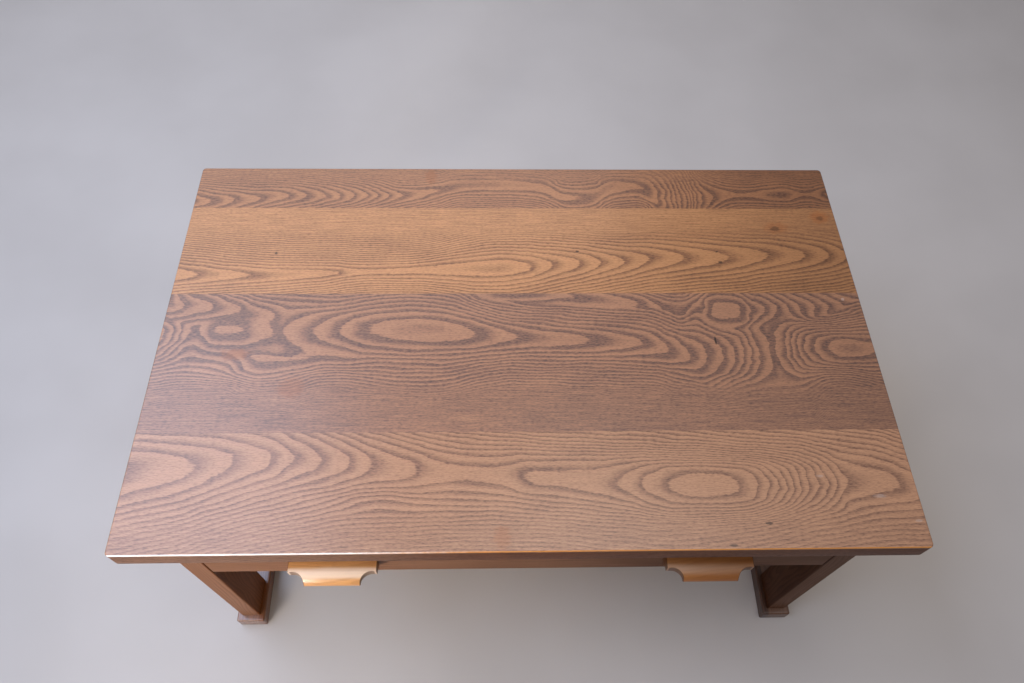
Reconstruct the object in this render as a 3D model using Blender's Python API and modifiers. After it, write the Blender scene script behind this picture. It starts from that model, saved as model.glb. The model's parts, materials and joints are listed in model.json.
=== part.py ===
"""Low writing desk: a four-board top on two sled-footed side frames, with one wide drawer.

Metres, +Z up, with the front towards -Y. The desk stands on the plane z = 0, and its bounding box
is centred on the world origin in X and Y.
"""

import functools
import math
from dataclasses import dataclass

import bmesh
import bpy
from mathutils import Matrix, Vector

# Tabletop
TOP_WIDTH = 0.800
TOP_DEPTH = 0.500
TOP_THICKNESS = 0.026
DESK_HEIGHT = 0.350
FRONT_BOARD_WIDTH = 0.127
MID_REAR_BOARD_WIDTH = 0.130
REAR_BOARD_WIDTH = 0.067
TOP_EDGE_ROUND = 0.0025
SPLINE_WIDTH = 0.016
SPLINE_THICKNESS = 0.006
SPLINE_END_INSET = 0.025

# Side frames and the aprons between them
SIDE_OVERHANG = 0.039
POST_THICKNESS = 0.024
POST_DEPTH = 0.046
POST_SETBACK = 0.017
POST_ROUND = 0.0015
RUNNER_WIDTH = 0.036
RUNNER_HEIGHT = 0.022
RUNNER_TOE = 0.0075
RUNNER_ROUND = 0.002
APRON_HEIGHT = 0.093
APRON_THICKNESS = 0.018
REAR_APRON_INSET = 0.007
RAIL_HEIGHT = 0.020
RAIL_DEPTH = 0.040
RAIL_SETBACK = 0.001
ARRIS = 0.0008

# Joinery
FIT_GAP = 0.0003
TENON_THICKNESS = 0.008
TENON_SHOULDER = 0.012
TENON_ROOT = 0.006
MORTISE_WALL = 0.006
POST_CHEEK = 0.009
FOOT_TENON_THICKNESS = 0.012
FOOT_TENON_SHOULDER = 0.007
RAIL_TENON_SHOULDER = 0.005

# Pieces that guide the drawer
SUPPORT_WIDTH = 0.016
SUPPORT_HEIGHT = 0.012
SUPPORT_LIFT = 0.0035
SUPPORT_FRONT_GAP = 0.002
STOP_DEPTH = 0.012
STOP_HEIGHT = 0.020

# Drawer
DRAWER_FRONT_THICKNESS = 0.018
DRAWER_FRONT_GAP = 0.0008
DRAWER_TOP_GAP = 0.0015
DRAWER_SIDE_GAP = 0.0015
DRAWER_SIDE_THICKNESS = 0.012
DRAWER_BACK_THICKNESS = 0.012
DRAWER_BACK_INSET = 0.010
DRAWER_BACK_DROP = 0.006
PANEL_THICKNESS = 0.005
PANEL_LIFT = 0.008
GROOVE_DEPTH = 0.005
BATTEN_WIDTH = 0.040
BATTEN_HEIGHT = 0.0065
FRONT_LAP = 0.006
TAIL_PIN = 0.008
TAIL_FLARE = 0.0025
TAILS_PER_SIDE = 2

# Pulls
PULL_INSET = 0.1382
PULL_WIDTH = 0.092
PULL_HEIGHT = 0.020
PULL_EAR_REACH = 0.0135
PULL_EAR_LAND = 0.005
PULL_SCOOP_RADIUS = 0.012
PULL_FLAT = 0.009
PULL_LIP_UNDER = 0.003
PULL_FOOT = 0.006
PULL_COVE_RADIUS = 0.007
PULL_COVE_RISE = 0.002
ARC_STEPS = 6
NOSE_STEPS = 8
SHARP_ANGLE = math.radians(40)

# Buttons that hold the rear edge of the top
BUTTON_WIDTH = 0.030
BUTTON_DEPTH = 0.018
BUTTON_THICKNESS = 0.018
BUTTON_TONGUE = 0.008
BUTTON_TONGUE_THICKNESS = 0.007
BUTTON_SHOULDER = 0.003
BUTTON_SPACING = 0.220

# Countersunk wood screws
SCREW_RADIUS = 0.002
SCREW_HEAD_RADIUS = 0.004
SCREW_HEAD_HEIGHT = 0.0025
SCREW_POINT = 0.004
SCREW_SIDES = 12
DRIVE_RADIUS = 0.0016
DRIVE_DEPTH = 0.0018
DRIVE_SIDES = 4
BORE_MOUTH = 0.002
TOP_BITE = 0.009
APRON_BITE = 0.012
PULL_BITE = 0.010
PANEL_BITE = 0.012
RAIL_SCREW_SPACING = 0.220
SUPPORT_SCREW_INSET = 0.060
PULL_SCREW_INSET = 0.016
PANEL_SCREW_INSET = 0.080

# Levels
UNDERSIDE = DESK_HEIGHT - TOP_THICKNESS
SEAT = UNDERSIDE - FIT_GAP
APRON_BOTTOM = UNDERSIDE - APRON_HEIGHT
RAIL_BOTTOM = UNDERSIDE - RAIL_HEIGHT
TENON_LOW = APRON_BOTTOM + TENON_SHOULDER
TENON_HIGH = RAIL_BOTTOM - MORTISE_WALL
SUPPORT_BOTTOM = APRON_BOTTOM + SUPPORT_LIFT
SUPPORT_TOP = SUPPORT_BOTTOM + SUPPORT_HEIGHT
DRAWER_TOP = RAIL_BOTTOM - DRAWER_TOP_GAP
BOX_BOTTOM = SUPPORT_TOP + FIT_GAP
PANEL_BOTTOM = BOX_BOTTOM + PANEL_LIFT
PANEL_TOP = PANEL_BOTTOM + PANEL_THICKNESS
PULL_LEVEL = (APRON_BOTTOM + DRAWER_TOP) / 2

# Lines across the desk, in Y
TOP_FRONT = -TOP_DEPTH / 2
TOP_REAR = TOP_DEPTH / 2
FRONT_FACE = TOP_FRONT + POST_SETBACK
REAR_FACE = TOP_REAR - POST_SETBACK
FRONT_POST_BACK = FRONT_FACE + POST_DEPTH
REAR_POST_FRONT = REAR_FACE - POST_DEPTH
REAR_APRON_BACK = REAR_FACE - REAR_APRON_INSET
REAR_APRON_FACE = REAR_APRON_BACK - APRON_THICKNESS
RAIL_FRONT = FRONT_FACE + RAIL_SETBACK
RAIL_BACK = RAIL_FRONT + RAIL_DEPTH
DRAWER_FRONT_BACK = FRONT_FACE + DRAWER_FRONT_THICKNESS
SUPPORT_FRONT = DRAWER_FRONT_BACK + SUPPORT_FRONT_GAP
GUIDE_REAR = REAR_APRON_FACE - FIT_GAP
STOP_FACE = GUIDE_REAR - STOP_DEPTH
BOX_REAR = STOP_FACE - FIT_GAP
BACK_REAR = BOX_REAR - DRAWER_BACK_INSET
BACK_FRONT = BACK_REAR - DRAWER_BACK_THICKNESS
PULL_BACK = FRONT_FACE - FIT_GAP
PULL_REACH = PULL_EAR_REACH + PULL_SCOOP_RADIUS
PULL_TIP = PULL_BACK - PULL_REACH
SEAMS = (
    TOP_FRONT + FRONT_BOARD_WIDTH,
    TOP_REAR - REAR_BOARD_WIDTH - MID_REAR_BOARD_WIDTH,
    TOP_REAR - REAR_BOARD_WIDTH,
)

# Distances from the centre line, in X
POST_OUTER = TOP_WIDTH / 2 - SIDE_OVERHANG
POST_INNER = POST_OUTER - POST_THICKNESS
POST_MIDDLE = POST_OUTER - POST_THICKNESS / 2
APRON_MIDDLE = POST_INNER + APRON_THICKNESS / 2
GUIDE_OUTER = POST_INNER - FIT_GAP
GUIDE_INNER = GUIDE_OUTER - SUPPORT_WIDTH
SIDE_OUTER = POST_INNER - DRAWER_SIDE_GAP
SIDE_INNER = SIDE_OUTER - DRAWER_SIDE_THICKNESS
FRONT_END = POST_INNER - DRAWER_FRONT_GAP
PULL_PLACE = FRONT_END - PULL_INSET

# Tenon lengths, as deep as their posts allow
SIDE_TENON_LENGTH = REAR_FACE - REAR_POST_FRONT - MORTISE_WALL - (
    REAR_APRON_INSET + (APRON_THICKNESS + TENON_THICKNESS) / 2
)
CROSS_TENON_LENGTH = POST_THICKNESS - POST_CHEEK
FOOT_TENON_LENGTH = RUNNER_HEIGHT - MORTISE_WALL

SIDES = ((-1, "left"), (1, "right"))


@dataclass(frozen=True)
class Block:
    """An upright block between two corners, in the desk's own coordinates."""

    low: Vector
    high: Vector

    @property
    def centre(self):
        return (self.low + self.high) / 2

    @property
    def size(self):
        return self.high - self.low

    def grown(self, gap):
        margin = Vector((gap, gap, gap))
        return Block(self.low - margin, self.high + margin)


def block(x_limits, y_limits, z_limits):
    """Make a block from its limits along each axis, given in either order."""
    limits = [sorted(pair) for pair in (x_limits, y_limits, z_limits)]
    return Block(Vector([pair[0] for pair in limits]), Vector([pair[1] for pair in limits]))


def beside(side, near, far):
    """Give the limits along X of something on the left (-1) or right (1) of the centre line."""
    return side * near, side * far


def clear_scene():
    """Remove whatever the open file holds, so that the desk is alone."""
    for item in list(bpy.data.objects):
        bpy.data.objects.remove(item, do_unlink=True)


def make_collection(name):
    """Add one collection to the scene."""
    collection = bpy.data.collections.new(name)
    bpy.context.scene.collection.children.link(collection)
    return collection


def make_material(name, colour, roughness, metallic=0.0):
    """Make one plain finish."""
    material = bpy.data.materials.new(name)
    material.use_nodes = True
    shader = material.node_tree.nodes["Principled BSDF"]
    shader.inputs["Base Color"].default_value = (*colour, 1.0)
    shader.inputs["Roughness"].default_value = roughness
    shader.inputs["Metallic"].default_value = metallic
    return material


class Workshop:
    """The collections, finishes and parent empties that every piece is made with."""

    def __init__(self):
        self.parts = make_collection("low_writing_desk")
        self.cutters = make_collection("cutters")
        self.top_wood = make_material("top_wood", (0.23, 0.115, 0.055), 0.38)
        self.frame_wood = make_material("frame_wood", (0.16, 0.08, 0.042), 0.42)
        self.pull_wood = make_material("pull_wood", (0.42, 0.22, 0.09), 0.36)
        self.box_wood = make_material("box_wood", (0.52, 0.36, 0.21), 0.55)
        self.screw_steel = make_material("screw_steel", (0.55, 0.52, 0.47), 0.35, 1.0)
        front = min(TOP_FRONT, PULL_TIP)
        self.desk = self.make_empty("desk", None, Vector((0, -(front + TOP_REAR) / 2, 0)))
        self.drawer = self.make_empty("drawer_slide", self.desk, Vector((0, FRONT_FACE, PULL_LEVEL)))

    def make_empty(self, name, parent, place):
        empty = bpy.data.objects.new(name, None)
        empty.parent = parent
        empty.location = place
        self.parts.objects.link(empty)
        return empty

    def add(self, name, mesh, material, parent, centre):
        """Place one piece by its centre in desk coordinates, under its parent empty."""
        piece = bpy.data.objects.new(name, mesh)
        mesh.materials.append(material)
        piece.parent = parent
        piece.location = self.under(parent, centre)
        self.parts.objects.link(piece)
        return piece

    def under(self, parent, centre):
        """Turn desk coordinates into coordinates under a parent empty."""
        return centre - parent.location if parent is self.drawer else Vector(centre)

    def tool(self, name, mesh, parent, centre):
        """Place one hidden shape that cuts, joins or bounds other pieces."""
        shape = bpy.data.objects.new(name, mesh)
        shape.parent = parent
        shape.location = self.under(parent, centre)
        shape.hide_render = True
        shape.display_type = "WIRE"
        self.cutters.objects.link(shape)
        return shape

    def add_block(self, name, limits, material, parent, rounding=ARRIS, segments=1):
        """Add a squared piece of wood with eased edges."""
        piece = self.add(name, block_mesh(name, limits.size), material, parent, limits.centre)
        if rounding:
            ease_edges(piece, rounding, segments)
        return piece

    def tool_block(self, name, limits, parent):
        """Add a hidden squared shape."""
        return self.tool(name, block_mesh(name, limits.size), parent, limits.centre)

    def tenon(self, rail, socket, limits):
        """Give a rail a tenon, and cut its mortise in the piece that takes it."""
        label = f"{rail.name}_in_{socket.name}"
        combine(rail, self.tool_block(f"{label}_tenon", limits, self.desk), "UNION")
        hole = self.tool_block(f"{label}_mortise", limits.grown(FIT_GAP), self.desk)
        combine(socket, hole, "DIFFERENCE")

    def screw(self, name, head, direction, length, pieces, parent):
        """Set a screw with its head just under the surface, and bore the pieces that it joins."""
        turn = Vector((0, 0, -1)).rotation_difference(Vector(direction))
        seat = Vector(head) + Vector(direction) * FIT_GAP
        screw = self.add(name, screw_mesh(length), self.screw_steel, parent, seat)
        bore = self.tool(f"{name}_bore", profile_mesh(f"{name}_bore", bore_profile(length)), parent, seat)
        spin(bore)
        for item in (screw, bore):
            item.rotation_mode = "QUATERNION"
            item.rotation_quaternion = turn
        for piece in pieces:
            combine(piece, bore, "DIFFERENCE")


def block_mesh(name, size):
    """Make a block centred on its own origin."""
    mesh = bpy.data.meshes.new(name)
    shape = bmesh.new()
    bmesh.ops.create_cube(shape, size=1.0, matrix=Matrix.Diagonal((*size, 1.0)))
    shape.to_mesh(mesh)
    shape.free()
    return mesh


def tail_mesh(name, size, flare):
    """Make a dovetail: a block that widens in Z towards its front end."""
    mesh = block_mesh(name, size)
    shape = bmesh.new()
    shape.from_mesh(mesh)
    ends = [vertex for vertex in shape.verts if vertex.co.y < 0]
    bmesh.ops.scale(shape, vec=(1.0, 1.0, (size.z + 2 * flare) / size.z), verts=ends)
    shape.to_mesh(mesh)
    shape.free()
    return mesh


def outline_mesh(name, points, thickness):
    """Make a flat outline of an even thickness, as a welded mesh."""
    curve = bpy.data.curves.new(name, "CURVE")
    curve.dimensions = "2D"
    curve.fill_mode = "BOTH"
    curve.extrude = thickness / 2
    spline = curve.splines.new("POLY")
    spline.points.add(len(points) - 1)
    for target, (across, along) in zip(spline.points, points):
        target.co = (across, along, 0.0, 1.0)
    spline.use_cyclic_u = True
    carrier = bpy.data.objects.new(name, curve)
    bpy.context.scene.collection.objects.link(carrier)
    evaluated = carrier.evaluated_get(bpy.context.evaluated_depsgraph_get())
    mesh = bpy.data.meshes.new_from_object(evaluated)
    bpy.data.objects.remove(carrier)
    bpy.data.curves.remove(curve)
    weld(mesh)
    smooth(mesh)
    return mesh


def smooth(mesh):
    """Shade the round stretches of a mesh smooth, and keep its corners sharp."""
    mesh.shade_smooth()
    mesh.set_sharp_from_angle(angle=SHARP_ANGLE)


def weld(mesh, distance=1e-6):
    """Join the points of a mesh that lie on each other, and turn its faces outwards."""
    shape = bmesh.new()
    shape.from_mesh(mesh)
    bmesh.ops.remove_doubles(shape, verts=shape.verts, dist=distance)
    bmesh.ops.recalc_face_normals(shape, faces=shape.faces)
    shape.to_mesh(mesh)
    shape.free()


def profile_mesh(name, points):
    """Make the edge line of a turned shape, from the top of its axis down to the point."""
    mesh = bpy.data.meshes.new(name)
    edges = [(index, index + 1) for index in range(len(points) - 1)]
    mesh.from_pydata([(radius, 0.0, height) for radius, height in points], edges, [])
    return mesh


def spin(item):
    """Turn a profile about its own Z axis."""
    turn = item.modifiers.new("turn", "SCREW")
    turn.steps = SCREW_SIDES
    turn.render_steps = SCREW_SIDES
    turn.use_merge_vertices = True
    turn.merge_threshold = 1e-6


def ease_edges(piece, width, segments):
    """Round or chamfer every edge of a piece."""
    bevel = piece.modifiers.new("eased_edges", "BEVEL")
    bevel.width = width
    bevel.segments = segments
    bevel.limit_method = "ANGLE"


def combine(piece, shape, operation):
    """Cut a piece by a shape, join the two, or keep what they share."""
    change = piece.modifiers.new(shape.name, "BOOLEAN")
    change.operation = operation
    change.object = shape
    change.solver = "EXACT"


def arc(centre, radius, start, end, steps):
    """Give the points of an arc, with its angles in degrees."""
    angles = [math.radians(start + (end - start) * step / steps) for step in range(steps + 1)]
    return [(centre[0] + radius * math.cos(a), centre[1] + radius * math.sin(a)) for a in angles]


def screw_profile(length):
    """Give the turned outline of a countersunk screw with its head at z = 0."""
    return [
        (0.0, 0.0),
        (SCREW_HEAD_RADIUS, 0.0),
        (SCREW_RADIUS, -SCREW_HEAD_HEIGHT),
        (SCREW_RADIUS, SCREW_POINT - length),
        (0.0, -length),
    ]


def bore_profile(length):
    """Give the outline of the hole that a screw sits in, open above its head."""
    return [
        (0.0, BORE_MOUTH),
        (SCREW_HEAD_RADIUS + FIT_GAP, BORE_MOUTH),
        (SCREW_HEAD_RADIUS + FIT_GAP, 0.0),
        (SCREW_RADIUS + FIT_GAP, -SCREW_HEAD_HEIGHT),
        (SCREW_RADIUS + FIT_GAP, SCREW_POINT - length - FIT_GAP),
        (0.0, -length - FIT_GAP),
    ]


@functools.cache
def drilled_screw_mesh(length):
    """Turn one screw and sink the square drive into its head."""
    scene = bpy.context.scene.collection
    blank = bpy.data.objects.new("screw_blank", profile_mesh("screw_blank", screw_profile(length)))
    spin(blank)
    drive_mesh = bpy.data.meshes.new("screw_drive")
    shape = bmesh.new()
    bmesh.ops.create_cone(
        shape,
        cap_ends=True,
        segments=DRIVE_SIDES,
        radius1=DRIVE_RADIUS,
        radius2=DRIVE_RADIUS,
        depth=2 * DRIVE_DEPTH,
    )
    shape.to_mesh(drive_mesh)
    shape.free()
    drive = bpy.data.objects.new("screw_drive", drive_mesh)
    for item in (blank, drive):
        scene.objects.link(item)
    combine(blank, drive, "DIFFERENCE")
    evaluated = blank.evaluated_get(bpy.context.evaluated_depsgraph_get())
    mesh = bpy.data.meshes.new_from_object(evaluated)
    for item in (blank, drive):
        bpy.data.objects.remove(item)
    smooth(mesh)
    return mesh


def screw_mesh(length):
    """Give a screw of this length its own copy of the turned mesh."""
    return drilled_screw_mesh(round(length, 6)).copy()


def add_posts(shop):
    """Stand the four posts, and give each its name as (side, end)."""
    posts = {}
    for side, side_name in SIDES:
        for end_name, near, far in (
            ("front", FRONT_FACE, FRONT_POST_BACK),
            ("rear", REAR_POST_FRONT, REAR_FACE),
        ):
            limits = block(beside(side, POST_INNER, POST_OUTER), (near, far), (RUNNER_HEIGHT + FIT_GAP, SEAT))
            name = f"post_{end_name}_{side_name}"
            posts[side, end_name] = shop.add_block(name, limits, shop.frame_wood, shop.desk, POST_ROUND, 2)
    return posts


def add_runners(shop, posts):
    """Lay a foot runner under each pair of posts, and tenon the posts into it."""
    for side, side_name in SIDES:
        half = RUNNER_WIDTH / 2
        limits = block(
            beside(side, POST_MIDDLE - half, POST_MIDDLE + half),
            (FRONT_FACE - RUNNER_TOE, REAR_FACE + RUNNER_TOE),
            (0.0, RUNNER_HEIGHT),
        )
        name = f"foot_runner_{side_name}"
        runner = shop.add_block(name, limits, shop.frame_wood, shop.desk, RUNNER_ROUND, 2)
        half = FOOT_TENON_THICKNESS / 2
        for end_name, near, far in (
            ("front", FRONT_FACE, FRONT_POST_BACK),
            ("rear", REAR_POST_FRONT, REAR_FACE),
        ):
            tenon = block(
                beside(side, POST_MIDDLE - half, POST_MIDDLE + half),
                (near + FOOT_TENON_SHOULDER, far - FOOT_TENON_SHOULDER),
                (RUNNER_HEIGHT - FOOT_TENON_LENGTH, RUNNER_HEIGHT + TENON_ROOT),
            )
            shop.tenon(posts[side, end_name], runner, tenon)


def add_side_aprons(shop, posts):
    """Fit a side apron between each pair of posts, flush with their inner faces."""
    aprons = {}
    half = TENON_THICKNESS / 2
    for side, side_name in SIDES:
        limits = block(
            beside(side, POST_INNER, POST_INNER + APRON_THICKNESS),
            (FRONT_POST_BACK + FIT_GAP, REAR_POST_FRONT - FIT_GAP),
            (APRON_BOTTOM, SEAT),
        )
        apron = shop.add_block(f"side_apron_{side_name}", limits, shop.frame_wood, shop.desk)
        across = beside(side, APRON_MIDDLE - half, APRON_MIDDLE + half)
        for end_name, shoulder, outward in (("front", FRONT_POST_BACK, -1), ("rear", REAR_POST_FRONT, 1)):
            along = (shoulder - outward * TENON_ROOT, shoulder + outward * SIDE_TENON_LENGTH)
            shop.tenon(apron, posts[side, end_name], block(across, along, (TENON_LOW, TENON_HIGH)))
        aprons[side] = apron
    return aprons


def add_rear_apron(shop, posts):
    """Fit the rear apron between the rear posts."""
    reach = POST_INNER - FIT_GAP
    limits = block((-reach, reach), (REAR_APRON_FACE, REAR_APRON_BACK), (APRON_BOTTOM, SEAT))
    apron = shop.add_block("rear_apron", limits, shop.frame_wood, shop.desk)
    middle = (REAR_APRON_FACE + REAR_APRON_BACK) / 2
    across = (middle - TENON_THICKNESS / 2, middle + TENON_THICKNESS / 2)
    for side, _ in SIDES:
        along = beside(side, POST_INNER - TENON_ROOT, POST_INNER + CROSS_TENON_LENGTH)
        shop.tenon(apron, posts[side, "rear"], block(along, across, (TENON_LOW, TENON_HIGH)))
    return apron


def add_front_rail(shop, posts):
    """Fit the rail over the drawer, between the front posts."""
    reach = POST_INNER - FIT_GAP
    limits = block((-reach, reach), (RAIL_FRONT, RAIL_BACK), (RAIL_BOTTOM, SEAT))
    rail = shop.add_block("front_rail", limits, shop.frame_wood, shop.desk)
    inset = RAIL_TENON_SHOULDER
    for side, _ in SIDES:
        tenon = block(
            beside(side, POST_INNER - TENON_ROOT, POST_INNER + CROSS_TENON_LENGTH),
            (RAIL_FRONT + inset, RAIL_BACK - inset),
            (RAIL_BOTTOM + inset, SEAT - inset),
        )
        shop.tenon(rail, posts[side, "front"], tenon)
    return rail


def add_guides(shop, aprons):
    """Fix the supports, kickers and stops that the drawer runs on, and return the kickers."""
    kickers = {}
    for side, side_name in SIDES:
        across = beside(side, GUIDE_INNER, GUIDE_OUTER)
        limits = block(across, (SUPPORT_FRONT, GUIDE_REAR), (SUPPORT_BOTTOM, SUPPORT_TOP))
        support = shop.add_block(f"drawer_support_{side_name}", limits, shop.box_wood, shop.desk)
        for end_name, along in (
            ("front", FRONT_POST_BACK + SUPPORT_SCREW_INSET),
            ("rear", REAR_POST_FRONT - SUPPORT_SCREW_INSET),
        ):
            head = (side * GUIDE_INNER, along, (SUPPORT_BOTTOM + SUPPORT_TOP) / 2)
            name = f"support_screw_{end_name}_{side_name}"
            length = SUPPORT_WIDTH + APRON_BITE
            shop.screw(name, head, (side, 0, 0), length, (support, aprons[side]), shop.desk)
        limits = block(across, (RAIL_BACK + FIT_GAP, GUIDE_REAR), (RAIL_BOTTOM, SEAT))
        kickers[side] = shop.add_block(f"drawer_kicker_{side_name}", limits, shop.box_wood, shop.desk)
        limits = block(
            beside(side, SIDE_INNER, SIDE_OUTER),
            (STOP_FACE, GUIDE_REAR),
            (BOX_BOTTOM, BOX_BOTTOM + STOP_HEIGHT),
        )
        shop.add_block(f"drawer_stop_{side_name}", limits, shop.box_wood, shop.desk)
    return kickers


def add_buttons(shop, apron):
    """Seat the wooden buttons in the rear apron, and return them by their place in X."""
    buttons = {}
    bottom = SEAT - BUTTON_THICKNESS
    for label, place in (("left", -BUTTON_SPACING), ("middle", 0.0), ("right", BUTTON_SPACING)):
        across = (place - BUTTON_WIDTH / 2, place + BUTTON_WIDTH / 2)
        limits = block(across, (GUIDE_REAR - BUTTON_DEPTH, GUIDE_REAR), (bottom, SEAT))
        button = shop.add_block(f"top_button_{label}", limits, shop.box_wood, shop.desk)
        tongue_bottom = bottom + BUTTON_SHOULDER
        tongue = block(
            (across[0] + BUTTON_SHOULDER, across[1] - BUTTON_SHOULDER),
            (GUIDE_REAR - TENON_ROOT, GUIDE_REAR + BUTTON_TONGUE),
            (tongue_bottom, tongue_bottom + BUTTON_TONGUE_THICKNESS),
        )
        shop.tenon(button, apron, tongue)
        buttons[label, place] = button
    return buttons


def add_top(shop, rail, kickers, buttons):
    """Bore one slab for every screw from below, and divide it into boards joined by splines."""
    limits = block((-TOP_WIDTH / 2, TOP_WIDTH / 2), (TOP_FRONT, TOP_REAR), (UNDERSIDE, DESK_HEIGHT))
    slab = shop.tool_block("top_slab", limits, shop.desk)
    ease_edges(slab, TOP_EDGE_ROUND, 2)
    add_top_screws(shop, slab, rail, kickers, buttons)
    edges = (TOP_FRONT, *SEAMS, TOP_REAR)
    boards = []
    for index, label in enumerate(("front", "mid_front", "mid_rear", "rear")):
        near = edges[index] + (FIT_GAP / 2 if index else -FIT_GAP)
        far = edges[index + 1] + (FIT_GAP if index == len(SEAMS) else -FIT_GAP / 2)
        strip = limits.grown(FIT_GAP)
        strip = Block(Vector((strip.low.x, near, strip.low.z)), Vector((strip.high.x, far, strip.high.z)))
        board = shop.add_block(f"top_board_{label}", strip, shop.top_wood, shop.desk, rounding=0)
        combine(board, slab, "INTERSECT")
        boards.append(board)
    add_splines(shop, boards)


def add_top_screws(shop, slab, rail, kickers, buttons):
    """Screw the top down from the front rail, the kickers and the buttons."""
    up = (0, 0, 1)
    length = RAIL_HEIGHT + TOP_BITE
    middle = (RAIL_FRONT + RAIL_BACK) / 2
    for label, place in (("left", -RAIL_SCREW_SPACING), ("middle", 0.0), ("right", RAIL_SCREW_SPACING)):
        head = (place, middle, RAIL_BOTTOM)
        shop.screw(f"rail_screw_{label}", head, up, length, (rail, slab), shop.desk)
    for side, side_name in SIDES:
        for end_name, near, far in (("front", SEAMS[0], SEAMS[1]), ("rear", SEAMS[1], SEAMS[2])):
            head = (side * (GUIDE_INNER + GUIDE_OUTER) / 2, (near + far) / 2, RAIL_BOTTOM)
            name = f"kicker_screw_{end_name}_{side_name}"
            shop.screw(name, head, up, length, (kickers[side], slab), shop.desk)
    for (label, place), button in buttons.items():
        head = (place, GUIDE_REAR - BUTTON_DEPTH / 2, SEAT - BUTTON_THICKNESS)
        length = BUTTON_THICKNESS + TOP_BITE
        shop.screw(f"button_screw_{label}", head, up, length, (button, slab), shop.desk)


def add_splines(shop, boards):
    """Let a loose spline into both boards of every seam, stopped short of their ends."""
    half_length = TOP_WIDTH / 2 - SPLINE_END_INSET
    level = (UNDERSIDE + DESK_HEIGHT) / 2
    for index, (label, seam) in enumerate(zip(("front", "middle", "rear"), SEAMS)):
        limits = block(
            (-half_length, half_length),
            (seam - SPLINE_WIDTH / 2, seam + SPLINE_WIDTH / 2),
            (level - SPLINE_THICKNESS / 2, level + SPLINE_THICKNESS / 2),
        )
        shop.add_block(f"top_spline_{label}", limits, shop.box_wood, shop.desk)
        groove = shop.tool_block(f"top_spline_{label}_groove", limits.grown(FIT_GAP), shop.desk)
        for board in boards[index : index + 2]:
            combine(board, groove, "DIFFERENCE")


def add_drawer(shop):
    """Make the drawer box, its bottom and its pulls, all under the sliding empty."""
    limits = block((-FRONT_END, FRONT_END), (FRONT_FACE, DRAWER_FRONT_BACK), (APRON_BOTTOM, DRAWER_TOP))
    front = shop.add_block("drawer_front", limits, shop.frame_wood, shop.drawer)
    sides = [add_drawer_side(shop, side, side_name, front) for side, side_name in SIDES]

    reach = SIDE_INNER + GROOVE_DEPTH
    levels = (PANEL_TOP + FIT_GAP, DRAWER_TOP - DRAWER_BACK_DROP)
    limits = block((-reach, reach), (BACK_FRONT, BACK_REAR), levels)
    back = shop.add_block("drawer_back", limits, shop.box_wood, shop.drawer)
    housing = shop.tool_block("drawer_back_housing", limits.grown(FIT_GAP), shop.drawer)
    limits = block((-reach, reach), (DRAWER_FRONT_BACK - GROOVE_DEPTH, BACK_REAR), (PANEL_BOTTOM, PANEL_TOP))
    panel = shop.add_block("drawer_bottom", limits, shop.box_wood, shop.drawer, rounding=0)
    groove = shop.tool_block("drawer_bottom_groove", limits.grown(FIT_GAP), shop.drawer)
    combine(front, groove, "DIFFERENCE")
    for piece in sides:
        combine(piece, groove, "DIFFERENCE")
        combine(piece, housing, "DIFFERENCE")

    half = BATTEN_WIDTH / 2
    top = PANEL_BOTTOM - FIT_GAP
    limits = block((-half, half), (DRAWER_FRONT_BACK + FIT_GAP, BACK_REAR), (top - BATTEN_HEIGHT, top))
    shop.add_block("drawer_bottom_batten", limits, shop.box_wood, shop.drawer)
    add_panel_screws(shop, panel, back)
    for side, side_name in SIDES:
        add_pull(shop, side, side_name, front)


def add_drawer_side(shop, side, side_name, front):
    """Make one drawer side, and lap its dovetails into the drawer front."""
    across = beside(side, SIDE_INNER, SIDE_OUTER)
    limits = block(across, (DRAWER_FRONT_BACK + FIT_GAP, BOX_REAR), (BOX_BOTTOM, DRAWER_TOP))
    piece = shop.add_block(f"drawer_side_{side_name}", limits, shop.box_wood, shop.drawer)
    pitch = (DRAWER_TOP - BOX_BOTTOM) / TAILS_PER_SIDE
    length = DRAWER_FRONT_THICKNESS - FRONT_LAP
    height = pitch - TAIL_PIN - 2 * TAIL_FLARE
    for index in range(TAILS_PER_SIDE):
        level = BOX_BOTTOM + pitch * (index + 0.5)
        tail = block(
            across,
            (DRAWER_FRONT_BACK - length, DRAWER_FRONT_BACK + TENON_ROOT),
            (level - height / 2, level + height / 2),
        )
        for ending, limits, target, operation in (
            ("tail", tail, piece, "UNION"),
            ("socket", tail.grown(FIT_GAP), front, "DIFFERENCE"),
        ):
            name = f"drawer_{ending}_{side_name}_{index + 1}"
            shape = shop.tool(name, tail_mesh(name, limits.size, TAIL_FLARE), shop.drawer, limits.centre)
            combine(target, shape, operation)
    return piece


def add_panel_screws(shop, panel, back):
    """Screw the drawer bottom up into the drawer back."""
    outer = SIDE_INNER - PANEL_SCREW_INSET
    middle = (BACK_FRONT + BACK_REAR) / 2
    inner = outer / 3
    for label, place in (("outer_left", -outer), ("left", -inner), ("right", inner), ("outer_right", outer)):
        head = (place, middle, PANEL_BOTTOM)
        length = PANEL_THICKNESS + PANEL_BITE
        shop.screw(f"panel_screw_{label}", head, (0, 0, 1), length, (panel, back), shop.drawer)


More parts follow.
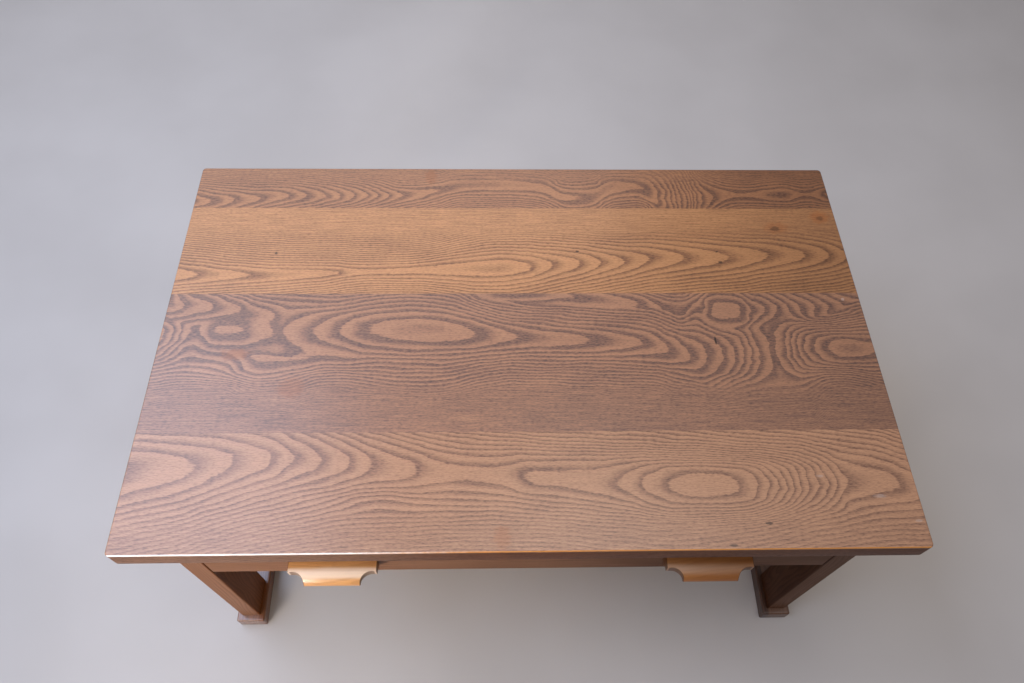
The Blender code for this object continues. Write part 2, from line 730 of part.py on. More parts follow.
def pull_plan():
    """Give a pull seen from above: two ears, a round scoop on each side, and the lip between them."""
    half = PULL_WIDTH / 2
    scoop = half - PULL_EAR_LAND
    lip = scoop - PULL_SCOOP_RADIUS
    past_tip = -PULL_REACH - FIT_GAP
    left = arc((-scoop, -PULL_REACH), PULL_SCOOP_RADIUS, 90, 0, ARC_STEPS)
    right = arc((scoop, -PULL_REACH), PULL_SCOOP_RADIUS, 180, 90, ARC_STEPS)
    left_half = [(-half, 0.0), (-half, -PULL_EAR_REACH), *left, (-lip, past_tip)]
    right_half = [(lip, past_tip), *right, (half, -PULL_EAR_REACH), (half, 0.0)]
    return left_half + right_half


def pull_profile():
    """Give a pull seen from the side, as (outward, up): a rolled lip with a cove under it."""
    top = PULL_HEIGHT / 2
    roll = PULL_REACH - PULL_FLAT
    angles = [math.radians(90 * step / NOSE_STEPS) for step in range(NOSE_STEPS + 1)]
    nose = [(PULL_FLAT + roll * math.sin(a), top * math.cos(a)) for a in angles]
    hollow = PULL_COVE_RISE - PULL_LIP_UNDER
    cove_centre = (PULL_FOOT + PULL_COVE_RADIUS, hollow - PULL_COVE_RADIUS)
    cove = arc(cove_centre, PULL_COVE_RADIUS, 90, 180, ARC_STEPS)
    lip_edge = (PULL_REACH - PULL_LIP_UNDER / 2, -PULL_LIP_UNDER)
    lip_back = (lip_edge[0] - PULL_LIP_UNDER, hollow)
    return [(-FIT_GAP, top), *nose, lip_edge, lip_back, *cove, (PULL_FOOT, -top), (-FIT_GAP, -top)]


def add_pull(shop, side, side_name, front):
    """Carve one pull from its plan and its profile, and screw it on from inside the drawer."""
    centre = Vector((side * PULL_PLACE, PULL_BACK, PULL_LEVEL))
    name = f"drawer_pull_{side_name}"
    blank = outline_mesh(name, pull_plan(), PULL_HEIGHT + 2 * FIT_GAP)
    pull = shop.add(name, blank, shop.pull_wood, shop.drawer, centre)
    outline = outline_mesh(f"{name}_profile", pull_profile(), PULL_WIDTH + 2 * FIT_GAP)
    outward_up_across = Matrix(((0, 0, -1), (-1, 0, 0), (0, 1, 0)))
    outline.transform(outward_up_across.to_4x4())
    combine(pull, shop.tool(f"{name}_profile", outline, shop.drawer, centre), "INTERSECT")
    spread = PULL_WIDTH / 2 - PULL_SCREW_INSET
    for screw_name, offset in (("left", -spread), ("right", spread)):
        head = (centre.x + offset, DRAWER_FRONT_BACK, PULL_LEVEL)
        length = DRAWER_FRONT_THICKNESS + PULL_BITE
        name = f"{side_name}_pull_screw_{screw_name}"
        shop.screw(name, head, (0, -1, 0), length, (front, pull), shop.drawer)


def main():
    """Build the whole desk."""
    clear_scene()
    shop = Workshop()
    posts = add_posts(shop)
    add_runners(shop, posts)
    aprons = add_side_aprons(shop, posts)
    rear_apron = add_rear_apron(shop, posts)
    rail = add_front_rail(shop, posts)
    kickers = add_guides(shop, aprons)
    buttons = add_buttons(shop, rear_apron)
    add_top(shop, rail, kickers, buttons)
    add_drawer(shop)


main()
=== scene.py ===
"""Looks of a low writing desk: four figured boards on sled feet, and one wide drawer with carved pulls.

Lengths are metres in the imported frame. In the finishes they are millimetres, and those of the boards count
from the middle of the tabletop's upper face: x to the right, y to the rear and z up.
"""

from __future__ import annotations

import json
import logging
import math
from dataclasses import dataclass
from enum import Enum
from typing import Any, Iterable, Iterator, Sequence, Union

import bmesh
import bpy
from mathutils import Matrix, Vector

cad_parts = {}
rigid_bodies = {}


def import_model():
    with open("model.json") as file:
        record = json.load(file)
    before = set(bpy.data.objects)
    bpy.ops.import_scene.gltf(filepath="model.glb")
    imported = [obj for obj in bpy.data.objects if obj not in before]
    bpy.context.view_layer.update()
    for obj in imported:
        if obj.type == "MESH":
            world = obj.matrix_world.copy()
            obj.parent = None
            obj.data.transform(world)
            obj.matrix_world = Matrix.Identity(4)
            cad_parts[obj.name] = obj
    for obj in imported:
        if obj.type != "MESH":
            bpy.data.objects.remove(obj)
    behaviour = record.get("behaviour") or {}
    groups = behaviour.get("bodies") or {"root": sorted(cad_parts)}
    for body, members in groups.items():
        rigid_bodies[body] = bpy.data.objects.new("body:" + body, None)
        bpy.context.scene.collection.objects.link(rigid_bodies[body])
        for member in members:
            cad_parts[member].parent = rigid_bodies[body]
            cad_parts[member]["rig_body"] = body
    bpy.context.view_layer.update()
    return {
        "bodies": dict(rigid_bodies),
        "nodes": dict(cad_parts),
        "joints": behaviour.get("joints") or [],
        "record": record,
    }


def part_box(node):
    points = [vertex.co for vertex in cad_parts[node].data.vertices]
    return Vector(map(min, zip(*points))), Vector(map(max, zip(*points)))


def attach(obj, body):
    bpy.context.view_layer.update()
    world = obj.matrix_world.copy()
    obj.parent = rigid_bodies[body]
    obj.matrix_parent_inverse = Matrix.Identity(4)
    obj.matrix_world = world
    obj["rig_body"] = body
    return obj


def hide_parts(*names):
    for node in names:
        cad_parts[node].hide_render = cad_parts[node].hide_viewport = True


log = logging.getLogger("low_writing_desk")

MM = 1000.0
SMOOTH_ANGLE = math.radians(32)
ORIGIN = (0.0, 0.0, 0.0)
SIDES = ((-1, "left"), (1, "right"))
ENDS = ((-1, "front"), (1, "rear"))

Triple = tuple[float, float, float]
Colour = Triple
Pair = tuple[float, float]
Curve = tuple[Pair, ...]
Number = Union[float, "Signal"]


def tint(red: int, green: int, blue: int) -> Colour:
    """Turn a display colour of 0 to 255 into the linear colour that shaders use."""
    return tuple(
        part / 12.92 if part <= 0.04045 else ((part + 0.055) / 1.055) ** 2.4
        for part in (red / 255, green / 255, blue / 255)
    )


class Body(Enum):
    """The two bodies that pieces ride on."""

    FRAME = "frame"
    DRAWER = "drawer"


class Slot(Enum):
    """The record's finish slots."""

    TOP = "top_wood"
    FRAME = "frame_wood"
    PULL = "pull_wood"
    BOX = "box_wood"
    STEEL = "screw_steel"


class Along(Enum):
    """The way that a piece's grain runs, as the turn that brings it onto X."""

    X = (0.0, 0.0, 0.0)
    Y = (0.0, 0.0, -math.pi / 2)
    Z = (0.0, math.pi / 2, 0.0)


class MarkKind(Enum):
    """Marks that use has left on the top, as the colour that each one shows."""

    KNOT = tint(62, 38, 24)
    NICK = tint(38, 24, 18)
    STAIN = tint(146, 80, 30)
    SCUFF = tint(206, 190, 176)


class Part(Enum):
    """What makes up the grain of a wood."""

    WAVER = "waver of the rings"
    EARLY = "early wood"
    FLECK = "short flecks"
    FIBRE = "long fibres"
    CLOUD = "wide clouds"
    PORE = "open pores"
    DARK = "darkness of all of these together"


class Signal:
    """A number that changes from place to place: arithmetic on it adds Math nodes."""

    def __init__(self, wiring: Wiring, socket: bpy.types.NodeSocket) -> None:
        """Wrap one output socket of a tree."""
        self.wiring = wiring
        self.socket = socket

    def math(self, operation: str, *others: Number) -> Signal:
        """Put this number first into a Math node."""
        return self.wiring.math(operation, self, *others)

    def __add__(self, other: Number) -> Signal:
        """Add."""
        return self.math("ADD", other)

    def __sub__(self, other: Number) -> Signal:
        """Subtract."""
        return self.math("SUBTRACT", other)

    def __rsub__(self, other: Number) -> Signal:
        """Subtract this number from another."""
        return self.wiring.math("SUBTRACT", other, self)

    def __mul__(self, other: Number) -> Signal:
        """Multiply."""
        return self.math("MULTIPLY", other)

    def __truediv__(self, other: Number) -> Signal:
        """Divide."""
        return self.math("DIVIDE", other)

    def __pow__(self, other: Number) -> Signal:
        """Raise to a power."""
        return self.math("POWER", other)

    __radd__ = __add__
    __rmul__ = __mul__

    def ramp(self, start: float, end: float) -> Signal:
        """Ease from 0 at start to 1 at end, and stay there.

        Args:
            start: Where the ramp is 0.
            end: Where it is 1, above or below start.

        Returns:
            The ramp's height.
        """
        low, high = (0.0, 1.0) if start < end else (1.0, 0.0)
        sockets = {
            "Value": self,
            "From Min": min(start, end),
            "From Max": max(start, end),
            "To Min": low,
            "To Max": high,
        }
        node = self.wiring.node("ShaderNodeMapRange", sockets, interpolation_type="SMOOTHSTEP")
        return Signal(self.wiring, node.outputs[0])

    def held(self) -> Signal:
        """Hold between 0 and 1."""
        node = self.wiring.node("ShaderNodeClamp", {"Value": self})
        return Signal(self.wiring, node.outputs[0])


Grain = dict[Part, Signal]


class Wiring:
    """A node tree, and the ways to add to it."""

    def __init__(self, tree: bpy.types.NodeTree) -> None:
        """Keep the tree."""
        self.tree = tree

    def node(self, kind: str, sockets: dict[Any, Any], **settings: Any) -> bpy.types.Node:
        """Add one node.

        Args:
            kind: The node's type.
            sockets: Values or links for its input sockets, by name or number.
            settings: Its settings, which are made first.

        Returns:
            The new node.
        """
        node = self.tree.nodes.new(kind)
        for key, value in settings.items():
            setattr(node, key, value)
        for key, value in sockets.items():
            self.feed(node.inputs[key], value)
        return node

    def feed(self, socket: bpy.types.NodeSocket, value: Any) -> None:
        """Feed an input socket.

        Args:
            socket: The input socket.
            value: A signal or another socket to link to it, or its value.
        """
        if isinstance(value, Signal):
            value = value.socket
        if isinstance(value, bpy.types.NodeSocket):
            self.tree.links.new(value, socket)
        elif socket.type == "RGBA":
            socket.default_value = (*value, 1.0)
        else:
            socket.default_value = value

    def math(self, operation: str, *values: Number) -> Signal:
        """Add one Math node, and give its result."""
        node = self.node("ShaderNodeMath", dict(enumerate(values)), operation=operation)
        return Signal(self, node.outputs[0])

    def vector(self, operation: str, *values: Any) -> bpy.types.NodeSocket:
        """Add one Vector Math node, and give its vector."""
        node = self.node("ShaderNodeVectorMath", dict(enumerate(values)), operation=operation)
        return node.outputs["Vector"]

    def scaled(self, vector: bpy.types.NodeSocket, factor: Any) -> bpy.types.NodeSocket:
        """Make a vector longer or shorter."""
        node = self.node("ShaderNodeVectorMath", {0: vector, "Scale": factor}, operation="SCALE")
        return node.outputs["Vector"]


@dataclass(frozen=True)
class Noise:
    """Smooth noise around 0.

    Attributes:
        lengths: How long its features are along each axis, in millimetres.
        start: Which part of the endless noise it is.
        detail: How many finer layers it has.
        rough: How strong these are.
        size: How far from 0 it mostly stays.
    """

    MIDDLE = 0.5
    SPREAD = 3.0

    lengths: Triple
    start: float = 0.0
    detail: float = 1.0
    rough: float = 0.5
    size: float = 1.0


@dataclass(frozen=True)
class Blend:
    """A number that the parts of a grain add up to.

    Attributes:
        base: What it is where every part is 0.
        shares: How much of each part it takes.
    """

    base: float
    shares: dict[Part, float]

    def of(self, grain: Grain) -> Number:
        """Add the shares up.

        Args:
            grain: The parts of the grain.

        Returns:
            The sum.
        """
        total: Number = self.base
        for part, share in self.shares.items():
            total = grain[part] * share + total
        return total


class Recipe(Wiring):
    """One material, and the ways to add to its node tree."""

    def __init__(self, name: str) -> None:
        """Start a material with its own shader.

        Args:
            name: The material's name.
        """
        self.material = bpy.data.materials.new(name)
        self.material.use_nodes = True
        super().__init__(self.material.node_tree)
        self.shader = self.tree.nodes["Principled BSDF"]

    def mix(self, share: Number, first: Any, second: Any, blend: str = "MIX") -> bpy.types.NodeSocket:
        """Mix two colours.

        Args:
            share: How much of the second colour shows.
            first: The colour underneath.
            second: The colour laid over it.
            blend: How the second colour is laid on.

        Returns:
            The mixed colour.
        """
        # The Mix node takes its colours in sockets 6 and 7, and gives their mix in socket 2.
        sockets = {0: share, 6: first, 7: second}
        node = self.node("ShaderNodeMix", sockets, data_type="RGBA", blend_type=blend, clamp_factor=True)
        return node.outputs[2]

    def millimetres(self, along: Along = Along.X, centre: Sequence[float] = ORIGIN) -> bpy.types.NodeSocket:
        """Give the place on the piece in millimetres, turned so that the grain runs along X.

        Args:
            along: The way that the grain runs on the piece.
            centre: The point that the pattern counts from, in metres.

        Returns:
            The place as a vector.
        """
        place = self.node("ShaderNodeTexCoord", {}).outputs["Object"]
        moved = self.vector("SUBTRACT", place, centre)
        sockets = {"Vector": moved, "Rotation": along.value, "Scale": (MM, MM, MM)}
        return self.node("ShaderNodeMapping", sockets).outputs[0]

    def split(self, place: bpy.types.NodeSocket) -> tuple[Signal, Signal, Signal]:
        """Split a vector into its three numbers."""
        node = self.node("ShaderNodeSeparateXYZ", {"Vector": place})
        return tuple(Signal(self, socket) for socket in node.outputs)

    def noise(self, place: bpy.types.NodeSocket, noise: Noise, seed: float = 0.0) -> Signal:
        """Add smooth noise.

        Args:
            place: Where on the piece, in millimetres.
            noise: What the noise is like.
            seed: How far along the endless noise the piece starts.

        Returns:
            The noise.
        """
        start = noise.start + seed
        steps = tuple(1 / length for length in noise.lengths)
        moved = self.vector("MULTIPLY_ADD", place, steps, (start, start, start))
        sockets = {"Vector": moved, "Scale": 1.0, "Detail": noise.detail, "Roughness": noise.rough}
        level = Signal(self, self.node("ShaderNodeTexNoise", sockets).outputs[0])
        return (level - Noise.MIDDLE) * (Noise.SPREAD * noise.size)

    def curve(self, value: Signal, points: Curve) -> Signal:
        """Read a smooth curve that is drawn through points.

        Args:
            value: Where to read it.
            points: The places and heights that it passes through.

        Returns:
            The curve's height there.
        """
        start, length = points[0][0], points[-1][0] - points[0][0]
        low = min(y for _, y in points)
        rise = max(y for _, y in points) - low
        node = self.node("ShaderNodeFloatCurve", {"Value": (value - start) / length})
        self.draw(node.mapping, [((x - start) / length, (y - low) / rise) for x, y in points])
        return Signal(self, node.outputs[0]) * rise + low

    @staticmethod
    def draw(mapping: bpy.types.CurveMapping, points: Sequence[Pair]) -> None:
        """Draw a smooth curve.

        Args:
            mapping: What the curve is drawn in.
            points: What it passes through, between 0 and 1.
        """
        mapping.extend = "HORIZONTAL"
        drawn = mapping.curves[0].points
        drawn[0].location = points[0]
        drawn[1].location = points[-1]
        for x, y in points[1:-1]:
            drawn.new(x, y)
        for point in drawn:
            point.handle_type = "AUTO_CLAMPED"
        mapping.update()

    def bump(self, height: Signal, distance: float, strength: float) -> bpy.types.NodeSocket:
        """Turn a relief of 0 to 1, that many metres deep, into a bent normal."""
        sockets = {"Height": height, "Distance": distance, "Strength": strength}
        return self.node("ShaderNodeBump", sockets).outputs[0]

    def finish(self, sockets: dict[str, Any]) -> bpy.types.Material:
        """Feed the shader and hand over the material.

        Args:
            sockets: Values or links for the shader's sockets.

        Returns:
            The material.
        """
        for key, value in sockets.items():
            self.feed(self.shader.inputs[key], value)
        return self.material


# Rings of the boards
RING_DRIFT = Noise((30.0, 13.0, 30.0), size=3.2)
RING_LIFT = Noise((40.0, 16.0, 40.0), start=31.0, size=1.6)
RING_UNEVEN = Noise((60.0, 20.0, 60.0), start=43.0, size=0.2)
RING_RISE = 0.1
RINGS_PER_DEPTH = 0.19
EARLY_FADE = 1.3
STEEP_BAND = 0.2
HEART_WELD = 2.0
REACH_POWER = 4.0


@dataclass(frozen=True)
class Heart:
    """One heart line of a board: growth rings nest around it, counted along it.

    Attributes:
        line: Where it runs, as (x, y).
        rings: How many rings lie under it, as (x, count).
        width: How far from it the next ring lies, as (x, width).
        pitch: How far apart rings lie well away from it.
        side: The count that the rings beside it follow instead, as (x, count).
        reach: How far from the line its own count holds, where side is given.
    """

    line: Curve
    rings: Curve
    width: Curve
    pitch: float
    side: Curve = ()
    reach: float = 1.0

    def count(self, recipe: Recipe, x: Signal, y: Signal) -> tuple[Signal, Signal]:
        """Count the rings at a place.

        Args:
            recipe: The material that is being made.
            x: Millimetres from the middle of the top to the right.
            y: Millimetres from the middle of the top to the rear.

        Returns:
            The ring count, and how steeply the rings meet the face, from 0 to 1.
        """
        away = y - recipe.curve(x, self.line)
        across = away / self.pitch
        blunt = (recipe.curve(x, self.width) / self.pitch) ** 2.0 / 2.0
        root = (across * across + blunt * blunt).math("SQRT")
        own = recipe.curve(x, self.rings)
        if self.side:
            beside = recipe.curve(x, self.side)
            near = ((away / self.reach) ** REACH_POWER * -1.0).math("EXPONENT")
            own = beside + (own - beside) * near
        return own + root - blunt, across.math("ABSOLUTE") / root


@dataclass(frozen=True)
class Spot:
    """An oval on a board: its middle, and half its size."""

    x: float
    y: float
    half_x: float
    half_y: float

    def away(self, x: Signal, y: Signal) -> Signal:
        """Give the square of the distance from its middle, which is 1 at its edge."""
        return ((x - self.x) / self.half_x) ** 2.0 + ((y - self.y) / self.half_y) ** 2.0


@dataclass(frozen=True)
class Swell(Spot):
    """A place where the rings bulge towards the face of a board, or sink away from it."""

    rings: float

    def count(self, x: Signal, y: Signal) -> Signal:
        """Give the rings that the swell adds at a place."""
        return (self.away(x, y) * -1.0).math("EXPONENT") * self.rings


@dataclass(frozen=True)
class Mark(Spot):
    """One knot, nick, stain or scuff on the top."""

    FRAY = 0.5
    EDGE = (1.25, 0.55)

    kind: MarkKind
    strength: float

    def mask(self, x: Signal, y: Signal, ragged: Signal) -> Signal:
        """Show where the mark is, with a ragged edge."""
        across = self.away(x, y).math("SQRT") + ragged * self.FRAY
        return across.ramp(*self.EDGE) * self.strength


@dataclass(frozen=True)
class Figure:
    """The growth-ring figure of one board of the top.

    Attributes:
        hearts: Its heart lines.
        plain: Where the figure fades out, as (y where it is full, y where it is faint).
        keep: How much of it is left there.
        tone: How dark the wood is there, from late wood at 0 to early wood at 1.
        flat: How much of a ring is full early wood.
        tail: How much more of it the early wood takes to fade out.
        depth: How dark full early wood is.
        sway: How strongly the rings waver.
        seed: Which part of the endless noise the board is cut from.
        swells: Its bulges and hollows.
        crowd: Where the rings crowd towards the front edge, as (y, strength).
    """

    hearts: tuple[Heart, ...]
    plain: Pair
    keep: float
    tone: float
    flat: float
    tail: float
    depth: float
    sway: float
    seed: float
    swells: tuple[Swell, ...] = ()
    crowd: Pair = (0.0, 0.0)

    def early_wood(self, recipe: Recipe, place: bpy.types.NodeSocket, stray: Number) -> Signal:
        """Show the early wood: dark where a ring starts, and fading towards the next one.

        Args:
            recipe: The material that is being made.
            place: The place on the tabletop.
            stray: Rings that fine grain adds at the place.

        Returns:
            How much early wood shows, from 0 to 1.
        """
        total, steep = self.count(recipe, place)
        phase = (total + stray).math("FRACT")
        uneven = recipe.noise(place, RING_UNEVEN, self.seed)
        end = uneven + steep * STEEP_BAND + (RING_RISE + self.flat + self.tail)
        return phase.ramp(0.0, RING_RISE) * ((end - phase) / self.tail).held() ** EARLY_FADE

    def count(self, recipe: Recipe, place: bpy.types.NodeSocket) -> tuple[Signal, Signal]:
        """Count the rings at a place on the board.

        Args:
            recipe: The material that is being made.
            place: The place on the tabletop.

        Returns:
            The ring count, and how steeply the rings meet the face.
        """
        x, y, z = recipe.split(place)
        x = x + recipe.noise(place, RING_DRIFT, self.seed) * self.sway
        y = y + recipe.noise(place, RING_LIFT, self.seed) * self.sway
        total, steep = self.hearts[0].count(recipe, x, y)
        for heart in self.hearts[1:]:
            other, other_steep = heart.count(recipe, x, y)
            steep = steep + (other_steep - steep) * other.math("LESS_THAN", total)
            total = total.math("SMOOTH_MIN", other, HEART_WELD)
        for swell in self.swells:
            total = total + swell.count(x, y)
        start, strength = self.crowd
        if strength:
            total = total + (start - y).math("MAXIMUM", 0.0) ** 2.0 * strength
        return total - z * RINGS_PER_DEPTH, steep


@dataclass(frozen=True)
class Stain:
    """The colours of a stained wood."""

    late: Colour
    early: Colour
    pore: Colour


@dataclass(frozen=True)
class Lacquer:
    """The sheen of a wood, and of the clear coat over it where it has one."""

    roughness: float
    coat: float
    coat_roughness: float
    specular: float

    def sockets(self) -> dict[str, float]:
        """Give the values that are the same all over."""
        return {"Coat Roughness": self.coat_roughness, "Specular IOR Level": self.specular}


# Grain of the boards
BOARD_FLECK = Noise((5.0, 1.1, 1.1), start=3.0, rough=0.7)
BOARD_FIBRE = Noise((40.0, 2.0, 2.0), start=5.0, detail=2.0, rough=0.7)
BOARD_CLOUD = Noise((170.0, 38.0, 38.0), start=7.0)
BOARD_PORE_EDGE = (0.0, 0.7)
BOARD_STRAY = Blend(0.0, {Part.FIBRE: 0.04, Part.FLECK: 0.03})
BOARD_MOTTLE = Blend(0.9, {Part.FLECK: 0.26})
BOARD_DARK = Blend(0.16, {Part.FLECK: 0.28, Part.FIBRE: 0.24, Part.CLOUD: 0.08})
BOARD_PORES = Blend(0.18, {Part.EARLY: 0.2})
BOARD_ROUGH = Blend(0.0, {Part.DARK: 0.05, Part.CLOUD: 0.03, Part.PORE: 0.06})
BOARD_RELIEF = Blend(0.7, {Part.EARLY: -0.35, Part.PORE: -0.5})
BOARD_BUMP = 0.18
BUMP_DEPTH = 0.0002
PLAIN_WANDER = 5.0
PLAIN_FIBRE = 0.4

# Painted shade and painted highlights of the boards, and their worn arris and marks
SHADE_WANDER = 40.0
# Painted shade: the boards darken towards the right over this span of x, towards the tint below.
BOARD_SHADE_SPAN = (-20.0, 420.0)
BOARD_SHADE_TINT = (0.34, 0.3, 0.28)
RAGGED = Noise((5.0, 3.0, 3.0), start=9.0, detail=2.0)
# Painted light: where the right-hand colours turn into the left-hand ones, across x.
PAINTED_LIGHT_WANDER = 30.0
PAINTED_LIGHT_REACH = (-30.0, -210.0)
COATED_FACE = (-3.0, -1.2)
SIDE_FACE = (-1.2, -2.4)
# Painted shade on the boards' side faces: lighter and cooler to the left, deeper and warmer to the right.
SIDE_SHADE_LEFT = (0.56, 0.54, 0.53)
SIDE_SHADE_RIGHT = (0.42, 0.26, 0.12)
ARRIS_WANDER = 0.2
ARRIS_FRONT = (-248.6, -249.3)
ARRIS_TOP = (-1.9, -1.0)
ARRIS_SHARE = 0.85
# The front arris: a painted highlight, near white on the left, over a pale worn edge that is orange on the
# right.
ARRIS_HIGHLIGHT = tint(250, 238, 228)
ARRIS_WORN_AND_LIT = tint(212, 134, 52)


@dataclass(frozen=True)
class BoardFinish:
    """The finish of one board of the top."""

    name: str
    figure: Figure
    stain: Stain
    marks: tuple[Mark, ...]
    lacquer: Lacquer
    # How strongly painted shade darkens the board towards the right.
    painted_shade: float = 0.0

    def grain(self, recipe: Recipe, place: bpy.types.NodeSocket) -> Grain:
        """Grow the board's grain.

        Args:
            recipe: The material that is being made.
            place: The place on the tabletop.

        Returns:
            The parts of the grain.
        """
        figure = self.figure
        fleck = recipe.noise(place, BOARD_FLECK, figure.seed)
        fibre = recipe.noise(place, BOARD_FIBRE, figure.seed)
        grain = {
            Part.FLECK: fleck,
            Part.FIBRE: fibre,
            Part.CLOUD: recipe.noise(place, BOARD_CLOUD, figure.seed),
            Part.PORE: fleck.ramp(*BOARD_PORE_EDGE),
        }
        early = figure.early_wood(recipe, place, BOARD_STRAY.of(grain)) * BOARD_MOTTLE.of(grain)
        _, y, _ = recipe.split(place)
        hidden = (y + fibre * PLAIN_WANDER).ramp(*figure.plain) * (1.0 - figure.keep)
        grain[Part.EARLY] = early * (1.0 - hidden) + hidden * (figure.tone + fibre * PLAIN_FIBRE)
        grain[Part.DARK] = (grain[Part.EARLY] * figure.depth + BOARD_DARK.of(grain)).held()
        return grain

    def marks_and_painted_light(
        self, recipe: Recipe, place: bpy.types.NodeSocket, colour: bpy.types.NodeSocket
    ) -> bpy.types.NodeSocket:
        """Lay the side faces' painted shade, the marks, and the front arris, worn pale with a painted
        highlight, over the wood.

        Args:
            recipe: The material that is being made.
            place: The place on the tabletop.
            colour: The colour of the wood.

        Returns:
            The colour with its marks, painted shade and painted highlight.
        """
        x, y, z = recipe.split(place)
        ragged = recipe.noise(place, RAGGED, self.figure.seed)
        painted_light = (x + ragged * PAINTED_LIGHT_WANDER).ramp(*PAINTED_LIGHT_REACH)
        # Painted shade on the side faces, lighter to the left and deeper to the right.
        edge = recipe.mix(painted_light, SIDE_SHADE_RIGHT, SIDE_SHADE_LEFT)
        colour = recipe.mix(z.ramp(*SIDE_FACE), colour, edge, "MULTIPLY")
        for mark in self.marks:
            colour = recipe.mix(mark.mask(x, y, ragged), colour, mark.kind.value)
        # The front arris: worn pale, with a painted highlight that turns white to the left.
        jagged = ragged * ARRIS_WANDER
        arris = (y + jagged).ramp(*ARRIS_FRONT) * (z + jagged).ramp(*ARRIS_TOP)
        return recipe.mix(arris * ARRIS_SHARE, colour, recipe.mix(painted_light, ARRIS_WORN_AND_LIT, ARRIS_HIGHLIGHT))

    def make(self, centre: Vector) -> bpy.types.Material:
        """Make the material.

        Args:
            centre: The middle of the top's upper face.

        Returns:
            The material.
        """
        recipe = Recipe(self.name)
        place = recipe.millimetres(centre=centre)
        x, _, z = recipe.split(place)
        grain = self.grain(recipe, place)
        colour = recipe.mix(grain[Part.DARK], self.stain.late, self.stain.early)
        colour = recipe.mix(grain[Part.PORE] * BOARD_PORES.of(grain), colour, self.stain.pore)
        # Painted shade: darker towards the right, standing in for the light's fall-off.
        shaded = (x + grain[Part.CLOUD] * SHADE_WANDER).ramp(*BOARD_SHADE_SPAN) * self.painted_shade
        colour = recipe.mix(shaded, colour, BOARD_SHADE_TINT, "MULTIPLY")
        return recipe.finish(
            {
                **self.lacquer.sockets(),
                "Base Color": self.marks_and_painted_light(recipe, place, colour),
                "Roughness": BOARD_ROUGH.of(grain) + self.lacquer.roughness,
                "Coat Weight": z.ramp(*COATED_FACE) * self.lacquer.coat,
                "Normal": recipe.bump(BOARD_RELIEF.of(grain), BUMP_DEPTH, BOARD_BUMP),
            }
        )


# Grain of the bars
BAR_SWAY = Noise((150.0, 26.0, 26.0), size=7.0)
BAR_WAVER = Noise((40.0, 7.0, 7.0), start=2.0, size=0.9)
BAR_STREAK = Noise((8.0, 0.6, 0.6), start=4.0, detail=2.0, rough=0.6)
BAR_FIBRE = Noise((70.0, 1.8, 1.8), start=6.0, detail=2.0, rough=0.6)
BAR_CLOUD = Noise((120.0, 30.0, 30.0), start=8.0)
BAR_HEART = (-46.0, 70.0)
BAR_TAPER = 0.03
BAR_TAIL = 0.6
BAR_PORE_EDGE = (0.15, 0.65)
BAR_PORES = 0.3
BAR_DARK = Blend(0.12, {Part.PORE: 0.12, Part.FIBRE: 0.14, Part.CLOUD: 0.16})
BAR_ROUGH = Blend(0.0, {Part.DARK: 0.08, Part.CLOUD: 0.05})
BAR_RELIEF = Blend(0.7, {Part.EARLY: -0.35, Part.PORE: -0.45})
BAR_BUMP = 0.22

# Painted shade of the bars: darker towards the right, and on the inner faces inside the posts' line
# Painted shade: frame woods, drawer front and pulls darken towards the right over this span, towards these
# tints.
BAR_SHADE_SPAN = (-60.0, 240.0)
BAR_SHADE_TINT = (0.28, 0.19, 0.08)
POST_WANDER = 0.3
POST_INSIDE = (339.5, 337.5)
# Painted shade on the inner faces inside the posts' line: its tint on the left, then the deeper one on the
# right.
INNER_SHADE_LEFT = (0.75, 0.43, 0.02)
INNER_SHADE_RIGHT = (0.36, 0.22, 0.06)
LEFT_TO_RIGHT = (-10.0, 10.0)

# Painted shade, painted sheen and cut grain of the pulls
# Tint of the painted shade on the pulls, deepest on the right-hand one.
PULL_SHADE_TINT = (0.33, 0.15, 0.02)
# Painted sheen: a pale band across the pulls' lips, weaker towards the right.
PULL_SHEEN = tint(242, 218, 194)
PULL_SHEEN_FROM = (-236.5, -240.5)
PULL_SHEEN_TO = (-251.0, -246.0)
PULL_SHEEN_SHARE = 0.65
PULL_SHEEN_LOSS = 0.35
# Cut grain on the scoop walls and ear ends: darker end grain, deepened with painted shade.
END_GRAIN_AND_SHADE = (0.2, 0.14, 0.09)
SCOOP_FADE = (0.7, 0.1)
EAR_FADE = (0.7, 0.2)


